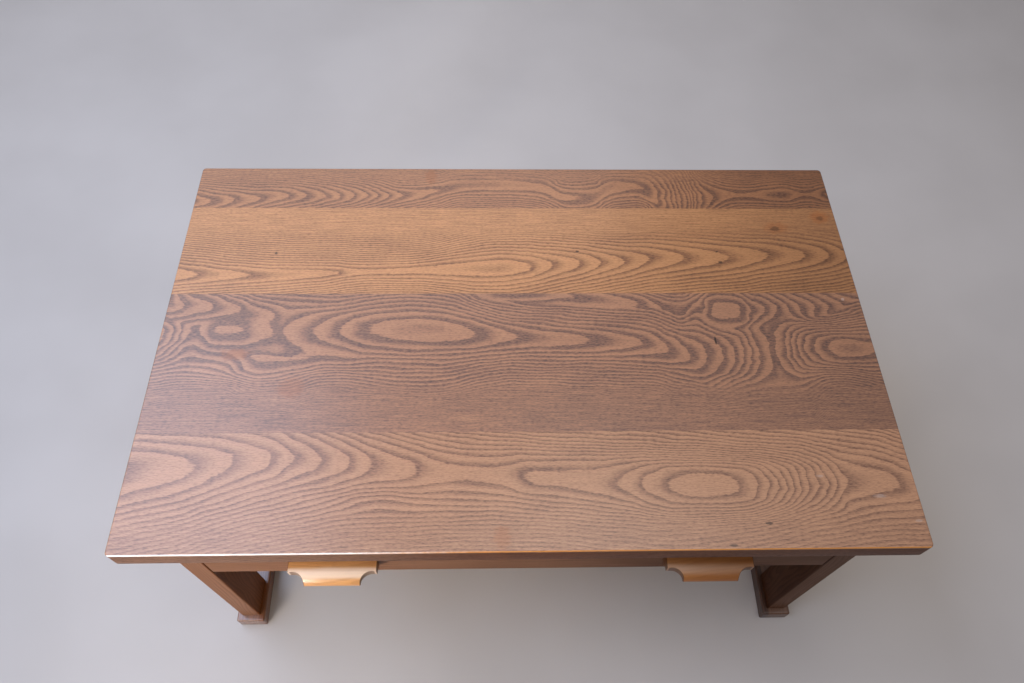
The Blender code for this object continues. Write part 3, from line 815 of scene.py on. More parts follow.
@dataclass(frozen=True)
class BarFinish:
    """The finish of straight-grained wood, sawn some way from the heart of its tree.

    Attributes:
        name: The material's name.
        along: The way that the grain runs.
        stain: The colours of the wood.
        lacquer: The coat over it.
        contrast: How dark full early wood is.
        seed: Which part of the endless noise the wood is cut from.
        pitch: How far apart rings lie.
        painted_shade: How strongly painted shade darkens the wood towards the right.
        deep: The tint of that painted shade.
        inner_shade: How strongly painted shade darkens the inner faces of the posts.
    """

    name: str
    along: Along
    stain: Stain
    lacquer: Lacquer
    contrast: float
    seed: float
    pitch: float = 3.4
    painted_shade: float = 0.0
    deep: Colour = BAR_SHADE_TINT
    inner_shade: float = 0.0

    def grain(self, recipe: Recipe) -> Grain:
        """Grow the wood's grain.

        Args:
            recipe: The material that is being made.

        Returns:
            The parts of the grain.
        """
        place = recipe.millimetres(self.along)
        x, y, z = recipe.split(place)
        sway = recipe.noise(place, BAR_SWAY, self.seed)
        waver = recipe.noise(place, BAR_WAVER, self.seed)
        across = ((y - BAR_HEART[0]) ** 2.0 + (z - BAR_HEART[1]) ** 2.0).math("SQRT")
        phase = ((across + sway + waver + x * BAR_TAPER) / self.pitch).math("FRACT")
        fade = (1.0 - (phase - RING_RISE) / BAR_TAIL).held() ** EARLY_FADE
        grain = {
            Part.WAVER: waver,
            Part.EARLY: phase.ramp(0.0, RING_RISE) * fade,
            Part.FIBRE: recipe.noise(place, BAR_FIBRE, self.seed),
            Part.CLOUD: recipe.noise(place, BAR_CLOUD, self.seed),
            Part.PORE: recipe.noise(place, BAR_STREAK, self.seed).ramp(*BAR_PORE_EDGE),
        }
        grain[Part.DARK] = (grain[Part.EARLY] * self.contrast + BAR_DARK.of(grain)).held()
        return grain

    def painted_light(self, grain: Grain, x: Signal, y: Signal) -> Number:
        """Show where a pale sheen is painted: nowhere on a plain bar."""
        return 0.0

    def cut(self, x: Signal, y: Signal) -> Number:
        """Show where carving has cut across the grain: nowhere on a plain bar."""
        return 0.0

    def make(self) -> bpy.types.Material:
        """Make the material.

        Returns:
            The material.
        """
        recipe = Recipe(self.name)
        grain = self.grain(recipe)
        x, y, _ = recipe.split(recipe.millimetres())
        colour = recipe.mix(grain[Part.DARK], self.stain.late, self.stain.early)
        colour = recipe.mix(grain[Part.PORE] * BAR_PORES, colour, self.stain.pore)
        # Painted sheen laid on the pulls' lips; nothing on plain bars.
        colour = recipe.mix(self.painted_light(grain, x, y), colour, PULL_SHEEN)
        # Painted shade: darker towards the right; it also thins the clear coat there, so that the sheen
        # fades.
        shaded = (x + grain[Part.CLOUD] * SHADE_WANDER).ramp(*BAR_SHADE_SPAN) * self.painted_shade
        colour = recipe.mix(shaded, colour, self.deep, "MULTIPLY")
        # Painted shade on the inner faces inside the posts' line, deeper on the right.
        inside = x.math("ABSOLUTE") + grain[Part.WAVER] * POST_WANDER
        inner_shade_tint = recipe.mix(x.ramp(*LEFT_TO_RIGHT), INNER_SHADE_LEFT, INNER_SHADE_RIGHT)
        colour = recipe.mix(inside.ramp(*POST_INSIDE) * self.inner_shade, colour, inner_shade_tint, "MULTIPLY")
        cut = self.cut(x, y)
        # Cut grain darkened, with painted shade on the scoop walls and ear ends.
        colour = recipe.mix(cut, colour, END_GRAIN_AND_SHADE, "MULTIPLY")
        return recipe.finish(
            {
                **self.lacquer.sockets(),
                "Base Color": colour,
                "Roughness": BAR_ROUGH.of(grain) + self.lacquer.roughness,
                # Painted shade and cut grain take the clear coat away, which dims the sheen there.
                "Coat Weight": (1.0 - shaded) * self.lacquer.coat * (1.0 - cut),
                "Normal": recipe.bump(BAR_RELIEF.of(grain), BUMP_DEPTH, BAR_BUMP),
            }
        )


@dataclass(frozen=True, kw_only=True)
class PullFinish(BarFinish):
    """The finish of the carved pulls: a painted sheen band on top, and dark cut grain deepened with painted
    shade.

    Attributes:
        centre: How far the middle of a pull lies from the desk's.
        half: Half its width.
        scoop: The middle of a scoop, as (distance from the pull's middle, y).
        radius: The radius of a scoop.
        end_grain_and_shade: How dark the cut grain is, with painted shade laid over it.
    """

    centre: float
    half: float
    scoop: Pair
    radius: float
    end_grain_and_shade: float

    def painted_light(self, grain: Grain, x: Signal, y: Signal) -> Number:
        """Show where a pale sheen is painted on the lip, fading towards the right.

        Args:
            grain: The parts of the grain.
            x: Millimetres from the middle of the desk to the right.
            y: Millimetres towards the rear.

        Returns:
            How much painted sheen shows, from 0 to 1.
        """
        out = y + grain[Part.WAVER]
        share = PULL_SHEEN_SHARE - PULL_SHEEN_LOSS * x.ramp(*BAR_SHADE_SPAN)
        return out.ramp(*PULL_SHEEN_FROM) * out.ramp(*PULL_SHEEN_TO) * share

    def cut(self, x: Signal, y: Signal) -> Number:
        """Show the scoops' walls and the ears' ends, darkened as cut grain and with painted shade.

        Args:
            x: Millimetres from the middle of the desk to the right.
            y: Millimetres towards the rear.

        Returns:
            How much the grain is cut across, from 0 to 1.
        """
        aside = (x.math("ABSOLUTE") - self.centre).math("ABSOLUTE")
        apart = ((aside - self.scoop[0]) ** 2.0 + (y - self.scoop[1]) ** 2.0).math("SQRT")
        wall = apart.ramp(*(self.radius + fade for fade in SCOOP_FADE))
        end = aside.ramp(*(self.half - fade for fade in EAR_FADE))
        return wall.math("MAXIMUM", end) * self.end_grain_and_shade


@dataclass(frozen=True)
class SteelFinish:
    """Zinc-plated steel with fine turning lines and dull spots."""

    name: str = "zinc_plated_steel"
    bright: Colour = (0.62, 0.6, 0.55)
    dull: Colour = (0.4, 0.38, 0.34)
    spots: Noise = Noise((2.2, 2.2, 2.2), start=4.0, detail=3.0)
    spot_edge: Pair = (-0.3, 0.7)
    lines: Noise = Noise((3.0, 3.0, 0.25), start=8.0, detail=2.0)
    line_depth: float = 0.0001
    line_strength: float = 0.2
    roughness: float = 0.34
    spot_roughness: float = 0.16

    def make(self) -> bpy.types.Material:
        """Make the material.

        Returns:
            The material.
        """
        recipe = Recipe(self.name)
        place = recipe.millimetres()
        spot = recipe.noise(place, self.spots).ramp(*self.spot_edge)
        return recipe.finish(
            {
                "Metallic": 1.0,
                "Base Color": recipe.mix(spot, self.bright, self.dull),
                "Roughness": self.roughness + self.spot_roughness * spot,
                "Normal": recipe.bump(recipe.noise(place, self.lines), self.line_depth, self.line_strength),
            }
        )


@dataclass(frozen=True)
class FloorFinish:
    """A plain pale floor with the faintest mottling."""

    name: str = "pale_floor"
    pale: Colour = tint(194, 184, 176)
    shade: Colour = tint(186, 176, 168)
    mottling: Noise = Noise((260.0, 260.0, 260.0), start=2.0, detail=3.0)
    mottle_edge: Pair = (-0.8, 0.8)
    roughness: float = 0.6
    mottle_roughness: float = 0.08

    def make(self) -> bpy.types.Material:
        """Make the material.

        Returns:
            The material.
        """
        recipe = Recipe(self.name)
        mottle = recipe.noise(recipe.millimetres(), self.mottling).ramp(*self.mottle_edge)
        return recipe.finish(
            {
                "Base Color": recipe.mix(mottle, self.pale, self.shade),
                "Roughness": self.roughness + self.mottle_roughness * mottle,
            }
        )


SATIN = Lacquer(roughness=0.45, coat=0.9, coat_roughness=0.18, specular=0.5)
BOARD = Lacquer(roughness=0.45, coat=1.0, coat_roughness=0.27, specular=0.2)
POLISHED = Lacquer(roughness=0.45, coat=1.0, coat_roughness=0.3, specular=0.3)
RUBBED = Lacquer(roughness=0.5, coat=0.0, coat_roughness=0.35, specular=0.12)
BARE = Lacquer(roughness=0.6, coat=0.0, coat_roughness=0.24, specular=0.3)

FRONT_FIGURE = Figure(
    hearts=(
        Heart(
            line=(
                (-400, -166), (-340, -161), (-290, -154), (-250, -152), (-200, -155), (-150, -160),
                (-95, -167), (0, -173), (100, -180), (180, -184), (250, -183), (300, -180), (340, -180),
                (400, -186),
            ),
            rings=(
                (-400, 0.06), (-335, 1), (-296, 2), (-258, 3), (-236, 4), (-207, 5), (-178, 6), (-155, 7),
                (-108, 8), (-92, 8.5), (-50, 8.85), (-15, 8.6), (4, 8), (40, 7.8), (80, 7.45), (96, 7),
                (114, 6.4), (121, 6), (138, 5.45), (149, 5), (182, 4.6), (217, 5), (237, 6), (248, 7),
                (266, 9), (282, 11), (300, 13), (318, 15), (329, 16), (381, 17), (400, 17.6),
            ),
            side=(
                (-400, 0.06), (-335, 1), (-258, 3), (-207, 5), (-155, 7), (-108, 8), (-45, 8.8), (100, 10),
                (200, 12), (300, 15), (381, 17), (400, 17.6),
            ),
            width=((-400, 24), (-150, 19), (0, 17), (180, 21), (400, 20)),
            pitch=3.3,
            reach=36,
        ),
    ),
    swells=(Swell(-150, -196, 50, 12, 1.5),),
    plain=(-200, -236),
    keep=0.5,
    tone=0.4,
    flat=0.03,
    tail=0.5,
    depth=0.71,
    sway=0.9,
    seed=11.0,
)

MID_FRONT_FIGURE = Figure(
    hearts=(
        Heart(
            line=(
                (-400, -5), (-325, 5), (-270, 2), (-170, 4), (-115, 3), (-40, -4), (0, -7), (90, -12),
                (140, -15), (172, -24), (210, -30), (245, -28), (285, -26), (330, -23), (400, -23),
            ),
            rings=(
                (-405, -3.6), (-397, -3), (-387, -2), (-378, -1), (-368, 0), (-361, 0.15), (-356, -0.05),
                (-351, -0.4), (-338, -1), (-325, -1.03), (-313, -1), (-297, -0.45), (-285, -0.1),
                (-276, 0.05), (-270, 0.2), (-262, 0), (-230, -1), (-200, -2), (-166, -3), (-115, -3.45),
                (-52, -3), (-5, -2), (75, -1), (135, 0), (165, 1), (188, 2), (207, 3), (224, 4), (239, 5),
                (250, 6), (259, 7), (267, 8), (276, 8.7), (280, 9), (284, 9.2), (288, 9), (292, 8.7),
                (300, 8), (307, 7), (314, 6), (322, 5), (332, 4), (348, 3), (370, 2.5), (400, 2.9),
            ),
            side=(
                (-400, -1.5), (-325, -0.9), (-270, -0.2), (-115, -2.4), (0, -1.6), (100, -0.4), (200, 4),
                (280, 9), (400, 4),
            ),
            width=(
                (-400, 18), (-325, 19), (-270, 26), (-200, 20), (-115, 22), (0, 13), (100, 14), (180, 20),
                (270, 50), (320, 30), (370, 16), (400, 16),
            ),
            pitch=3.4,
            reach=34,
        ),
        Heart(
            line=(
                (-400, 46), (-385, 38), (-350, 35), (-320, 31), (-283, 25), (-250, 24), (-100, 52), (0, 52),
                (80, 46), (150, 37), (200, 30), (235, 28), (300, 31), (400, 34),
            ),
            rings=(
                (-400, -4), (-382, -3), (-350, -2), (-318, -1), (-283, 0), (-250, 3), (-200, 9), (-100, 8),
                (0, 5.2), (60, 6), (137, 7), (160, 8), (185, 8.5), (203, 8), (214, 7), (222, 6.05),
                (235, 5.72), (250, 5.8), (258, 6.05), (270, 7.2), (284, 8), (298, 9), (326, 11), (342, 12),
                (358, 13), (376, 14), (400, 15),
            ),
            width=((-400, 16), (-283, 12), (100, 10), (200, 12), (240, 19), (280, 16), (400, 18)),
            pitch=3.3,
        ),
    ),
    swells=(Swell(-300, -52, 70, 18, -3.0), Swell(-212, -39, 46, 14, -1.9), Swell(-285, -32, 30, 6, -0.8)),
    plain=(-60, -80),
    keep=0.3,
    tone=0.5,
    crowd=(-64, 0.004),
    flat=0.2,
    tail=0.42,
    depth=0.67,
    sway=1.1,
    seed=23.0,
)

MID_REAR_FIGURE = Figure(
    hearts=(
        Heart(
            line=(
                (-400, 81), (-300, 80), (-200, 84), (-100, 87), (0, 91), (50, 95), (130, 100), (165, 104),
                (260, 106), (310, 109), (400, 110),
            ),
            rings=(
                (-400, 0.6), (-378, 1), (-318, 2), (-214, 3), (-200, 3.5), (-170, 3.85), (-120, 3.75),
                (-20, 3.46), (6, 3.85), (14, 4), (24, 4.4), (40, 5), (72, 6), (98, 7), (126, 8), (157, 9),
                (198, 10), (251, 11), (301, 12), (347, 13), (377, 14), (400, 15),
            ),
            width=((-400, 12), (-300, 10), (-150, 8), (-20, 15), (100, 15), (200, 17), (400, 17)),
            pitch=2.8,
        ),
    ),
    plain=(128, 152),
    keep=0.15,
    tone=0.16,
    flat=0.03,
    tail=0.5,
    depth=0.77,
    sway=0.7,
    seed=37.0,
)

REAR_FIGURE = Figure(
    hearts=(
        Heart(
            line=(
                (-400, 194), (-345, 196), (-280, 203), (-150, 204), (-100, 212), (-40, 222), (20, 219),
                (50, 208), (75, 200), (95, 202), (115, 214), (145, 220), (170, 212), (190, 200), (215, 198),
                (260, 205), (400, 207),
            ),
            rings=(
                (-400, -0.6), (-352, 1), (-322, 2), (-288, 3), (-264, 4), (-241, 5), (-222, 6), (-203, 7),
                (-188, 8), (-175, 9), (-162, 10), (-145, 11), (-100, 12), (0, 12.6), (60, 12.9), (88, 13.1),
                (110, 13.35), (140, 13.75), (168, 14.2), (178, 14.8), (190, 16), (215, 20), (250, 25),
                (290, 26), (340, 25.2), (370, 26), (400, 25),
            ),
            width=(
                (-400, 12), (-150, 11), (0, 12), (75, 14), (150, 14), (200, 30), (240, 20), (300, 11),
                (400, 11),
            ),
            pitch=2.6,
        ),
    ),
    plain=(222, 234),
    keep=0.45,
    tone=0.4,
    flat=0.2,
    tail=0.4,
    depth=0.66,
    sway=1.0,
    seed=53.0,
)

FRONT_MARKS = (
    Mark(241, -224, 5, 1.4, MarkKind.NICK, 0.7),
    Mark(203, -246, 4, 1.4, MarkKind.NICK, 0.7),
    Mark(360, -197, 6, 2.4, MarkKind.SCUFF, 0.2),
    Mark(303, -175, 4, 1.6, MarkKind.SCUFF, 0.18),
    Mark(392, -223, 4, 1.6, MarkKind.SCUFF, 0.2),
    Mark(-22, -236, 9, 13, MarkKind.STAIN, 0.3),
)
MID_FRONT_MARKS = (
    Mark(221, -12, 1.3, 5, MarkKind.NICK, 0.9),
    Mark(-313, -28, 16, 7, MarkKind.STAIN, 0.4),
    Mark(-247, -70, 15, 13, MarkKind.STAIN, 0.28),
    Mark(380, 44, 2.4, 2, MarkKind.SCUFF, 0.3),
)
MID_REAR_MARKS = (
    Mark(322, 152, 15, 9, MarkKind.STAIN, 0.35),
    Mark(320, 150, 7, 4, MarkKind.KNOT, 0.6),
    Mark(380, 169, 12, 10, MarkKind.STAIN, 0.5),
    Mark(380, 167, 5, 3.5, MarkKind.KNOT, 0.5),
    Mark(-288, 112, 1.8, 1.6, MarkKind.NICK, 0.8),
    Mark(72, 115, 2.2, 1.8, MarkKind.NICK, 0.8),
    Mark(242, 114, 1.8, 1.5, MarkKind.NICK, 0.8),
    Mark(244, 98, 3, 2, MarkKind.NICK, 0.8),
)
REAR_MARKS = (Mark(-108, 236, 8, 13, MarkKind.STAIN, 0.35),)

# The three rear boards carry painted shade that darkens them towards the right.
TOP_FINISHES = (
    BoardFinish(
        "front_board",
        FRONT_FIGURE,
        Stain(tint(177, 128, 93), tint(113, 77, 58), tint(88, 60, 45)),
        FRONT_MARKS,
        BOARD,
    ),
    BoardFinish(
        "mid_front_board",
        MID_FRONT_FIGURE,
        Stain(tint(172, 121, 88), tint(96, 69, 59), tint(78, 56, 48)),
        MID_FRONT_MARKS,
        BOARD,
        painted_shade=0.3,
    ),
    BoardFinish(
        "mid_rear_board",
        MID_REAR_FIGURE,
        Stain(tint(195, 136, 87), tint(122, 80, 52), tint(100, 66, 43)),
        MID_REAR_MARKS,
        BOARD,
        painted_shade=0.6,
    ),
    BoardFinish(
        "rear_board",
        REAR_FIGURE,
        Stain(tint(179, 122, 81), tint(102, 68, 51), tint(84, 56, 43)),
        REAR_MARKS,
        BOARD,
        painted_shade=0.65,
    ),
)

FRAME_STAIN = Stain(tint(138, 94, 66), tint(98, 65, 45), tint(70, 47, 33))
PULL_STAIN = Stain(tint(210, 150, 88), tint(176, 118, 64), tint(142, 92, 50))
BOX_STAIN = Stain(tint(214, 184, 142), tint(184, 146, 100), tint(160, 122, 82))


def link(name: str, data: bpy.types.ID) -> bpy.types.Object:
    """Put a mesh, a light or a camera in the scene.

    Args:
        name: The new object's name.
        data: What it shows.

    Returns:
        The new object.
    """
    item = bpy.data.objects.new(name, data)
    bpy.context.scene.collection.objects.link(item)
    return item


def shade(mesh: bpy.types.Mesh) -> bpy.types.Mesh:
    """Shade a mesh smooth across its rounded edges and sharp at its corners.

    Args:
        mesh: The mesh.

    Returns:
        The same mesh.
    """
    mesh.polygons.foreach_set("use_smooth", [True] * len(mesh.polygons))
    mesh.set_sharp_from_angle(angle=SMOOTH_ANGLE)
    return mesh


def settle(holder: bpy.types.Object, name: str) -> bpy.types.Mesh:
    """Turn an object with live modifiers into a plain mesh, and remove the object.

    Args:
        holder: The object that carries the modifiers.
        name: The new mesh's name.

    Returns:
        The plain mesh, shaded.
    """
    graph = bpy.context.evaluated_depsgraph_get()
    mesh = bpy.data.meshes.new_from_object(holder.evaluated_get(graph))
    mesh.name = name
    holder.modifiers.clear()
    bpy.data.objects.remove(holder)
    return shade(mesh)


def skin(rings: Iterable[Iterable[Sequence[float]]]) -> bmesh.types.BMesh:
    """Build a closed shape.

    Args:
        rings: Rings of points with as many points each, from its lower end to its upper end.

    Returns:
        The shape.
    """
    shape = bmesh.new()
    loops = [[shape.verts.new(point) for point in ring] for ring in rings]
    for below, above in zip(loops, loops[1:]):
        for index, start in enumerate(below):
            after = (index + 1) % len(below)
            shape.faces.new((start, below[after], above[after], above[index]))
    shape.faces.new(list(reversed(loops[0])))
    shape.faces.new(loops[-1])
    return shape


def mesh_of(shape: bmesh.types.BMesh, name: str) -> bpy.types.Mesh:
    """Turn a shape into a mesh, and free the shape.

    Args:
        shape: The shape.
        name: The mesh's name.

    Returns:
        The mesh.
    """
    mesh = bpy.data.meshes.new(name)
    shape.to_mesh(mesh)
    shape.free()
    return mesh


def arc(centre: Pair, radius: float, start: float, end: float, steps: int) -> list[Pair]:
    """Draw an arc between two angles in degrees."""
    angles = [math.radians(start + (end - start) * step / steps) for step in range(steps + 1)]
    return [(centre[0] + radius * math.cos(angle), centre[1] + radius * math.sin(angle)) for angle in angles]


class Rule(Wiring):
    """A Geometry Nodes tree that makes a dressed mesh from named inputs."""

    def __init__(self, name: str, inputs: dict[str, str]) -> None:
        """Start the tree.

        Args:
            name: The tree's name.
            inputs: The socket type of each input, by name.
        """
        super().__init__(bpy.data.node_groups.new(name, "GeometryNodeTree"))
        face = self.tree.interface
        face.new_socket("Geometry", in_out="OUTPUT", socket_type="NodeSocketGeometry")
        self.keys = {
            label: face.new_socket(label, in_out="INPUT", socket_type=kind).identifier
            for label, kind in inputs.items()
        }
        self.given = self.tree.nodes.new("NodeGroupInput").outputs

    def end(self, geometry: bpy.types.NodeSocket) -> None:
        """End the tree.

        Args:
            geometry: What it has made, which gets the material that is given.
        """
        whole = self.node("GeometryNodeRealizeInstances", {0: geometry}).outputs[0]
        sockets = {"Geometry": whole, "Material": self.given["Material"]}
        self.node("NodeGroupOutput", {0: self.node("GeometryNodeSetMaterial", sockets).outputs[0]})

    def apply(self, name: str, mesh: bpy.types.Mesh, values: dict[str, Any]) -> bpy.types.Mesh:
        """Work the tree out.

        Args:
            name: The new mesh's name.
            mesh: The mesh that the tree works on.
            values: Its inputs, by name.

        Returns:
            A plain mesh.
        """
        holder = link(name, mesh)
        rule = holder.modifiers.new(self.tree.name, "NODES")
        rule.node_group = self.tree
        for label, value in values.items():
            rule[self.keys[label]] = value
        return settle(holder, name)


class EasedBar(Rule):
    """A squared bar with eased edges, made by one rule for every bar."""

    STEPS = 10
    ROUND_FROM = 3
    FLAT = 0.2

    def __init__(self) -> None:
        """Build the tree: every point of a box grid moves out to the rounded surface."""
        inputs = {
            "Half Size": "NodeSocketVector",
            "Centre": "NodeSocketVector",
            "Edge Radius": "NodeSocketFloat",
            "Material": "NodeSocketMaterial",
        }
        super().__init__("eased_bar", inputs)
        radius = self.given["Edge Radius"]
        steps = {f"Vertices {axis}": self.STEPS for axis in "XYZ"}
        cube = self.node("GeometryNodeMeshCube", {"Size": (2.0, 2.0, 2.0), **steps}).outputs["Mesh"]
        place = self.node("GeometryNodeInputPosition", {}).outputs[0]
        sign = self.vector("SIGN", place)
        size = self.vector("ABSOLUTE", place)
        start = self.ROUND_FROM / (self.STEPS - 1)
        bend = self.vector("MAXIMUM", self.vector("SUBTRACT", size, (start, start, start)), ORIGIN)
        bend = self.vector("TANGENT", self.scaled(bend, math.pi / 4 / (1.0 - start)))
        bend = self.scaled(self.vector("NORMALIZE", self.vector("MULTIPLY", bend, sign)), radius)
        inset = self.vector("SUBTRACT", (self.FLAT, self.FLAT, self.FLAT), size)
        inset = self.scaled(self.vector("SIGN", self.vector("MAXIMUM", inset, ORIGIN)), radius)
        radii = self.node("ShaderNodeCombineXYZ", dict.fromkeys("XYZ", radius)).outputs[0]
        core = self.vector("SUBTRACT", self.vector("SUBTRACT", self.given["Half Size"], radii), inset)
        moved = self.vector("ADD", self.vector("MULTIPLY", core, sign), bend)
        moved = self.vector("ADD", moved, self.given["Centre"])
        self.end(self.node("GeometryNodeSetPosition", {"Geometry": cube, "Position": moved}).outputs[0])

    def mesh(
        self, name: str, low: Vector, high: Vector, radius: float, finish: bpy.types.Material
    ) -> bpy.types.Mesh:
        """Make one bar.

        Args:
            name: The mesh's name.
            low: The bar's lowest corner.
            high: Its highest corner.
            radius: How round its edges are.
            finish: Its material.

        Returns:
            A plain mesh.
        """
        values = {
            "Half Size": (high - low) / 2,
            "Centre": (high + low) / 2,
            "Edge Radius": radius,
            "Material": finish,
        }
        return self.apply(name, bpy.data.meshes.new(name), values)


class ScrewRule(Rule):
    """Sets a head, a shank and a point on every seat, and welds them into one screw."""

    SIZES = (
        "Shank Radius",
        "Head Radius",
        "Head Height",
        "Point Length",
        "Drive Size",
        "Drive Depth",
        "Overlap",
    )
    AIM = "aim"
    LENGTH = "shank_length"
    TIP = 0.0002
    FULL_SIZE = (1.0, 1.0, 1.0)

    def __init__(self) -> None:
        """Build the tree."""
        inputs = {
            "Seats": "NodeSocketGeometry",
            **dict.fromkeys(self.SIZES, "NodeSocketFloat"),
            "Sides": "NodeSocketInt",
            "Material": "NodeSocketMaterial",
        }
        super().__init__("wood_screws", inputs)
        self.overlap = self.number(self.given["Overlap"])
        self.radius = self.number(self.given["Shank Radius"])
        length = self.number(self.attribute(self.LENGTH, "FLOAT"))
        aim = self.attribute(self.AIM, "FLOAT_VECTOR")
        turn = self.node("FunctionNodeAlignRotationToVector", {"Vector": aim}, axis="Z").outputs[0]
        seats = self.node("GeometryNodeMeshToPoints", {"Mesh": self.given["Seats"]}).outputs[0]
        stretch = self.node("ShaderNodeCombineXYZ", {"X": 1.0, "Y": 1.0, "Z": length}).outputs[0]
        point = self.cone(self.TIP, self.radius - self.overlap, self.given["Point Length"])
        sunk = self.number(self.given["Head Height"]) - self.overlap
        weld = self.node("GeometryNodeMeshBoolean", {}, operation="UNION", solver="EXACT")
        for depth, shape, scale in (
            (0.0, self.head(), self.FULL_SIZE),
            (sunk, self.shank(), stretch),
            (length + sunk - self.overlap, point, self.FULL_SIZE),
        ):
            sockets = {"Geometry": seats, "Offset": self.scaled(aim, depth)}
            places = self.node("GeometryNodeSetPosition", sockets).outputs[0]
            sockets = {"Points": places, "Instance": shape, "Rotation": turn, "Scale": scale}
            placed = self.node("GeometryNodeInstanceOnPoints", sockets).outputs[0]
            solid = self.node("GeometryNodeRealizeInstances", {0: placed}).outputs[0]
            self.feed(weld.inputs["Mesh 2"], solid)
        self.end(weld.outputs["Mesh"])

    def number(self, socket: bpy.types.NodeSocket) -> Signal:
        """Wrap a number of the tree."""
        return Signal(self, socket)

    def attribute(self, name: str, kind: str) -> bpy.types.NodeSocket:
        """Read an attribute of the seats."""
        return self.node("GeometryNodeInputNamedAttribute", {"Name": name}, data_type=kind).outputs[0]

    def cone(self, top: Any, bottom: Any, depth: Any) -> bpy.types.NodeSocket:
        """Shape a cone with the screws' number of sides.

        Args:
            top: Its upper radius.
            bottom: Its lower radius.
            depth: Its height.

        Returns:
            The cone, which stands on its lower end.
        """
        sides = self.given["Sides"]
        sockets = {"Vertices": sides, "Radius Top": top, "Radius Bottom": bottom, "Depth": depth}
        return self.node("GeometryNodeMeshCone", sockets).outputs["Mesh"]

    def head(self) -> bpy.types.NodeSocket:
        """Shape a countersunk head with a square drive.

        Returns:
            The head.
        """
        cone = self.cone(self.radius + self.overlap, self.given["Head Radius"], self.given["Head Height"])
        side = self.given["Drive Size"]
        sockets = {"X": side, "Y": side, "Z": self.number(self.given["Drive Depth"]) * 2.0}
        size = self.node("ShaderNodeCombineXYZ", sockets).outputs[0]
        drive = self.node("GeometryNodeMeshCube", {"Size": size}).outputs["Mesh"]
        sockets = {"Mesh 1": cone, "Mesh 2": drive}
        head = self.node("GeometryNodeMeshBoolean", sockets, operation="DIFFERENCE", solver="EXACT")
        return head.outputs["Mesh"]

    def shank(self) -> bpy.types.NodeSocket:
        """Shape a shank of unit length that stands on its seat.

        Returns:
            The shank.
        """
        sockets = {"Vertices": self.given["Sides"], "Radius": self.radius, "Depth": 1.0}
        bar = self.node("GeometryNodeMeshCylinder", sockets).outputs["Mesh"]
        sockets = {"Geometry": bar, "Translation": (0.0, 0.0, 0.5)}
        return self.node("GeometryNodeTransform", sockets).outputs[0]


class Bench:
    """Makes meshes into finished pieces of the desk."""

    def __init__(self, frame: dict[str, Any]) -> None:
        """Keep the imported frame, and find the middle of the tabletop in it.
        """
        self.nodes = frame["nodes"]
        self.subparts = frame["record"]["subparts"]
        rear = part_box("top_board_rear")[1]
        self.shift = rear.y - Tabletop.depth / 2

    def world(self, x: float, y: float, z: float) -> Vector:
        """Turn a place on the desk into the frame's coordinates."""
        return Vector((x, y + self.shift, z))

    def nodes_in(self, slot: Slot) -> list[str]:
        """List the CAD nodes that the record puts in a finish slot."""
        return [part["node"] for part in self.subparts if part["material_slot"] == slot.value]

    def add(
        self,
        name: str,
        mesh: bpy.types.Mesh,
        finish: bpy.types.Material,
        body: Body,
        slot: Slot,
        nodes: Iterable[str],
    ) -> None:
        """Add one finished piece that stands for CAD nodes.

        Args:
            name: The piece's name.
            mesh: Its mesh, in the frame's coordinates.
            finish: Its material.
            body: The body that it moves with.
            slot: The record's finish slot; not used.
            nodes: The CAD nodes that it stands for.
        """
        mesh.materials.clear()
        mesh.materials.append(finish)
        piece = link(name, mesh)
        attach(piece, body.value)
        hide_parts(*nodes)
        log.info("%s: %d faces on %s", name, len(mesh.polygons), body.value)

    def dress(self, node: str, finish: bpy.types.Material) -> None:
        """Give a CAD node that is shown as it is a finish of its own.

        Args:
            node: The CAD node.
            finish: Its material.
        """
        data = self.nodes[node].data
        data.materials.clear()
        data.materials.append(finish)
        log.info("%s: dressed in %s", node, finish.name)


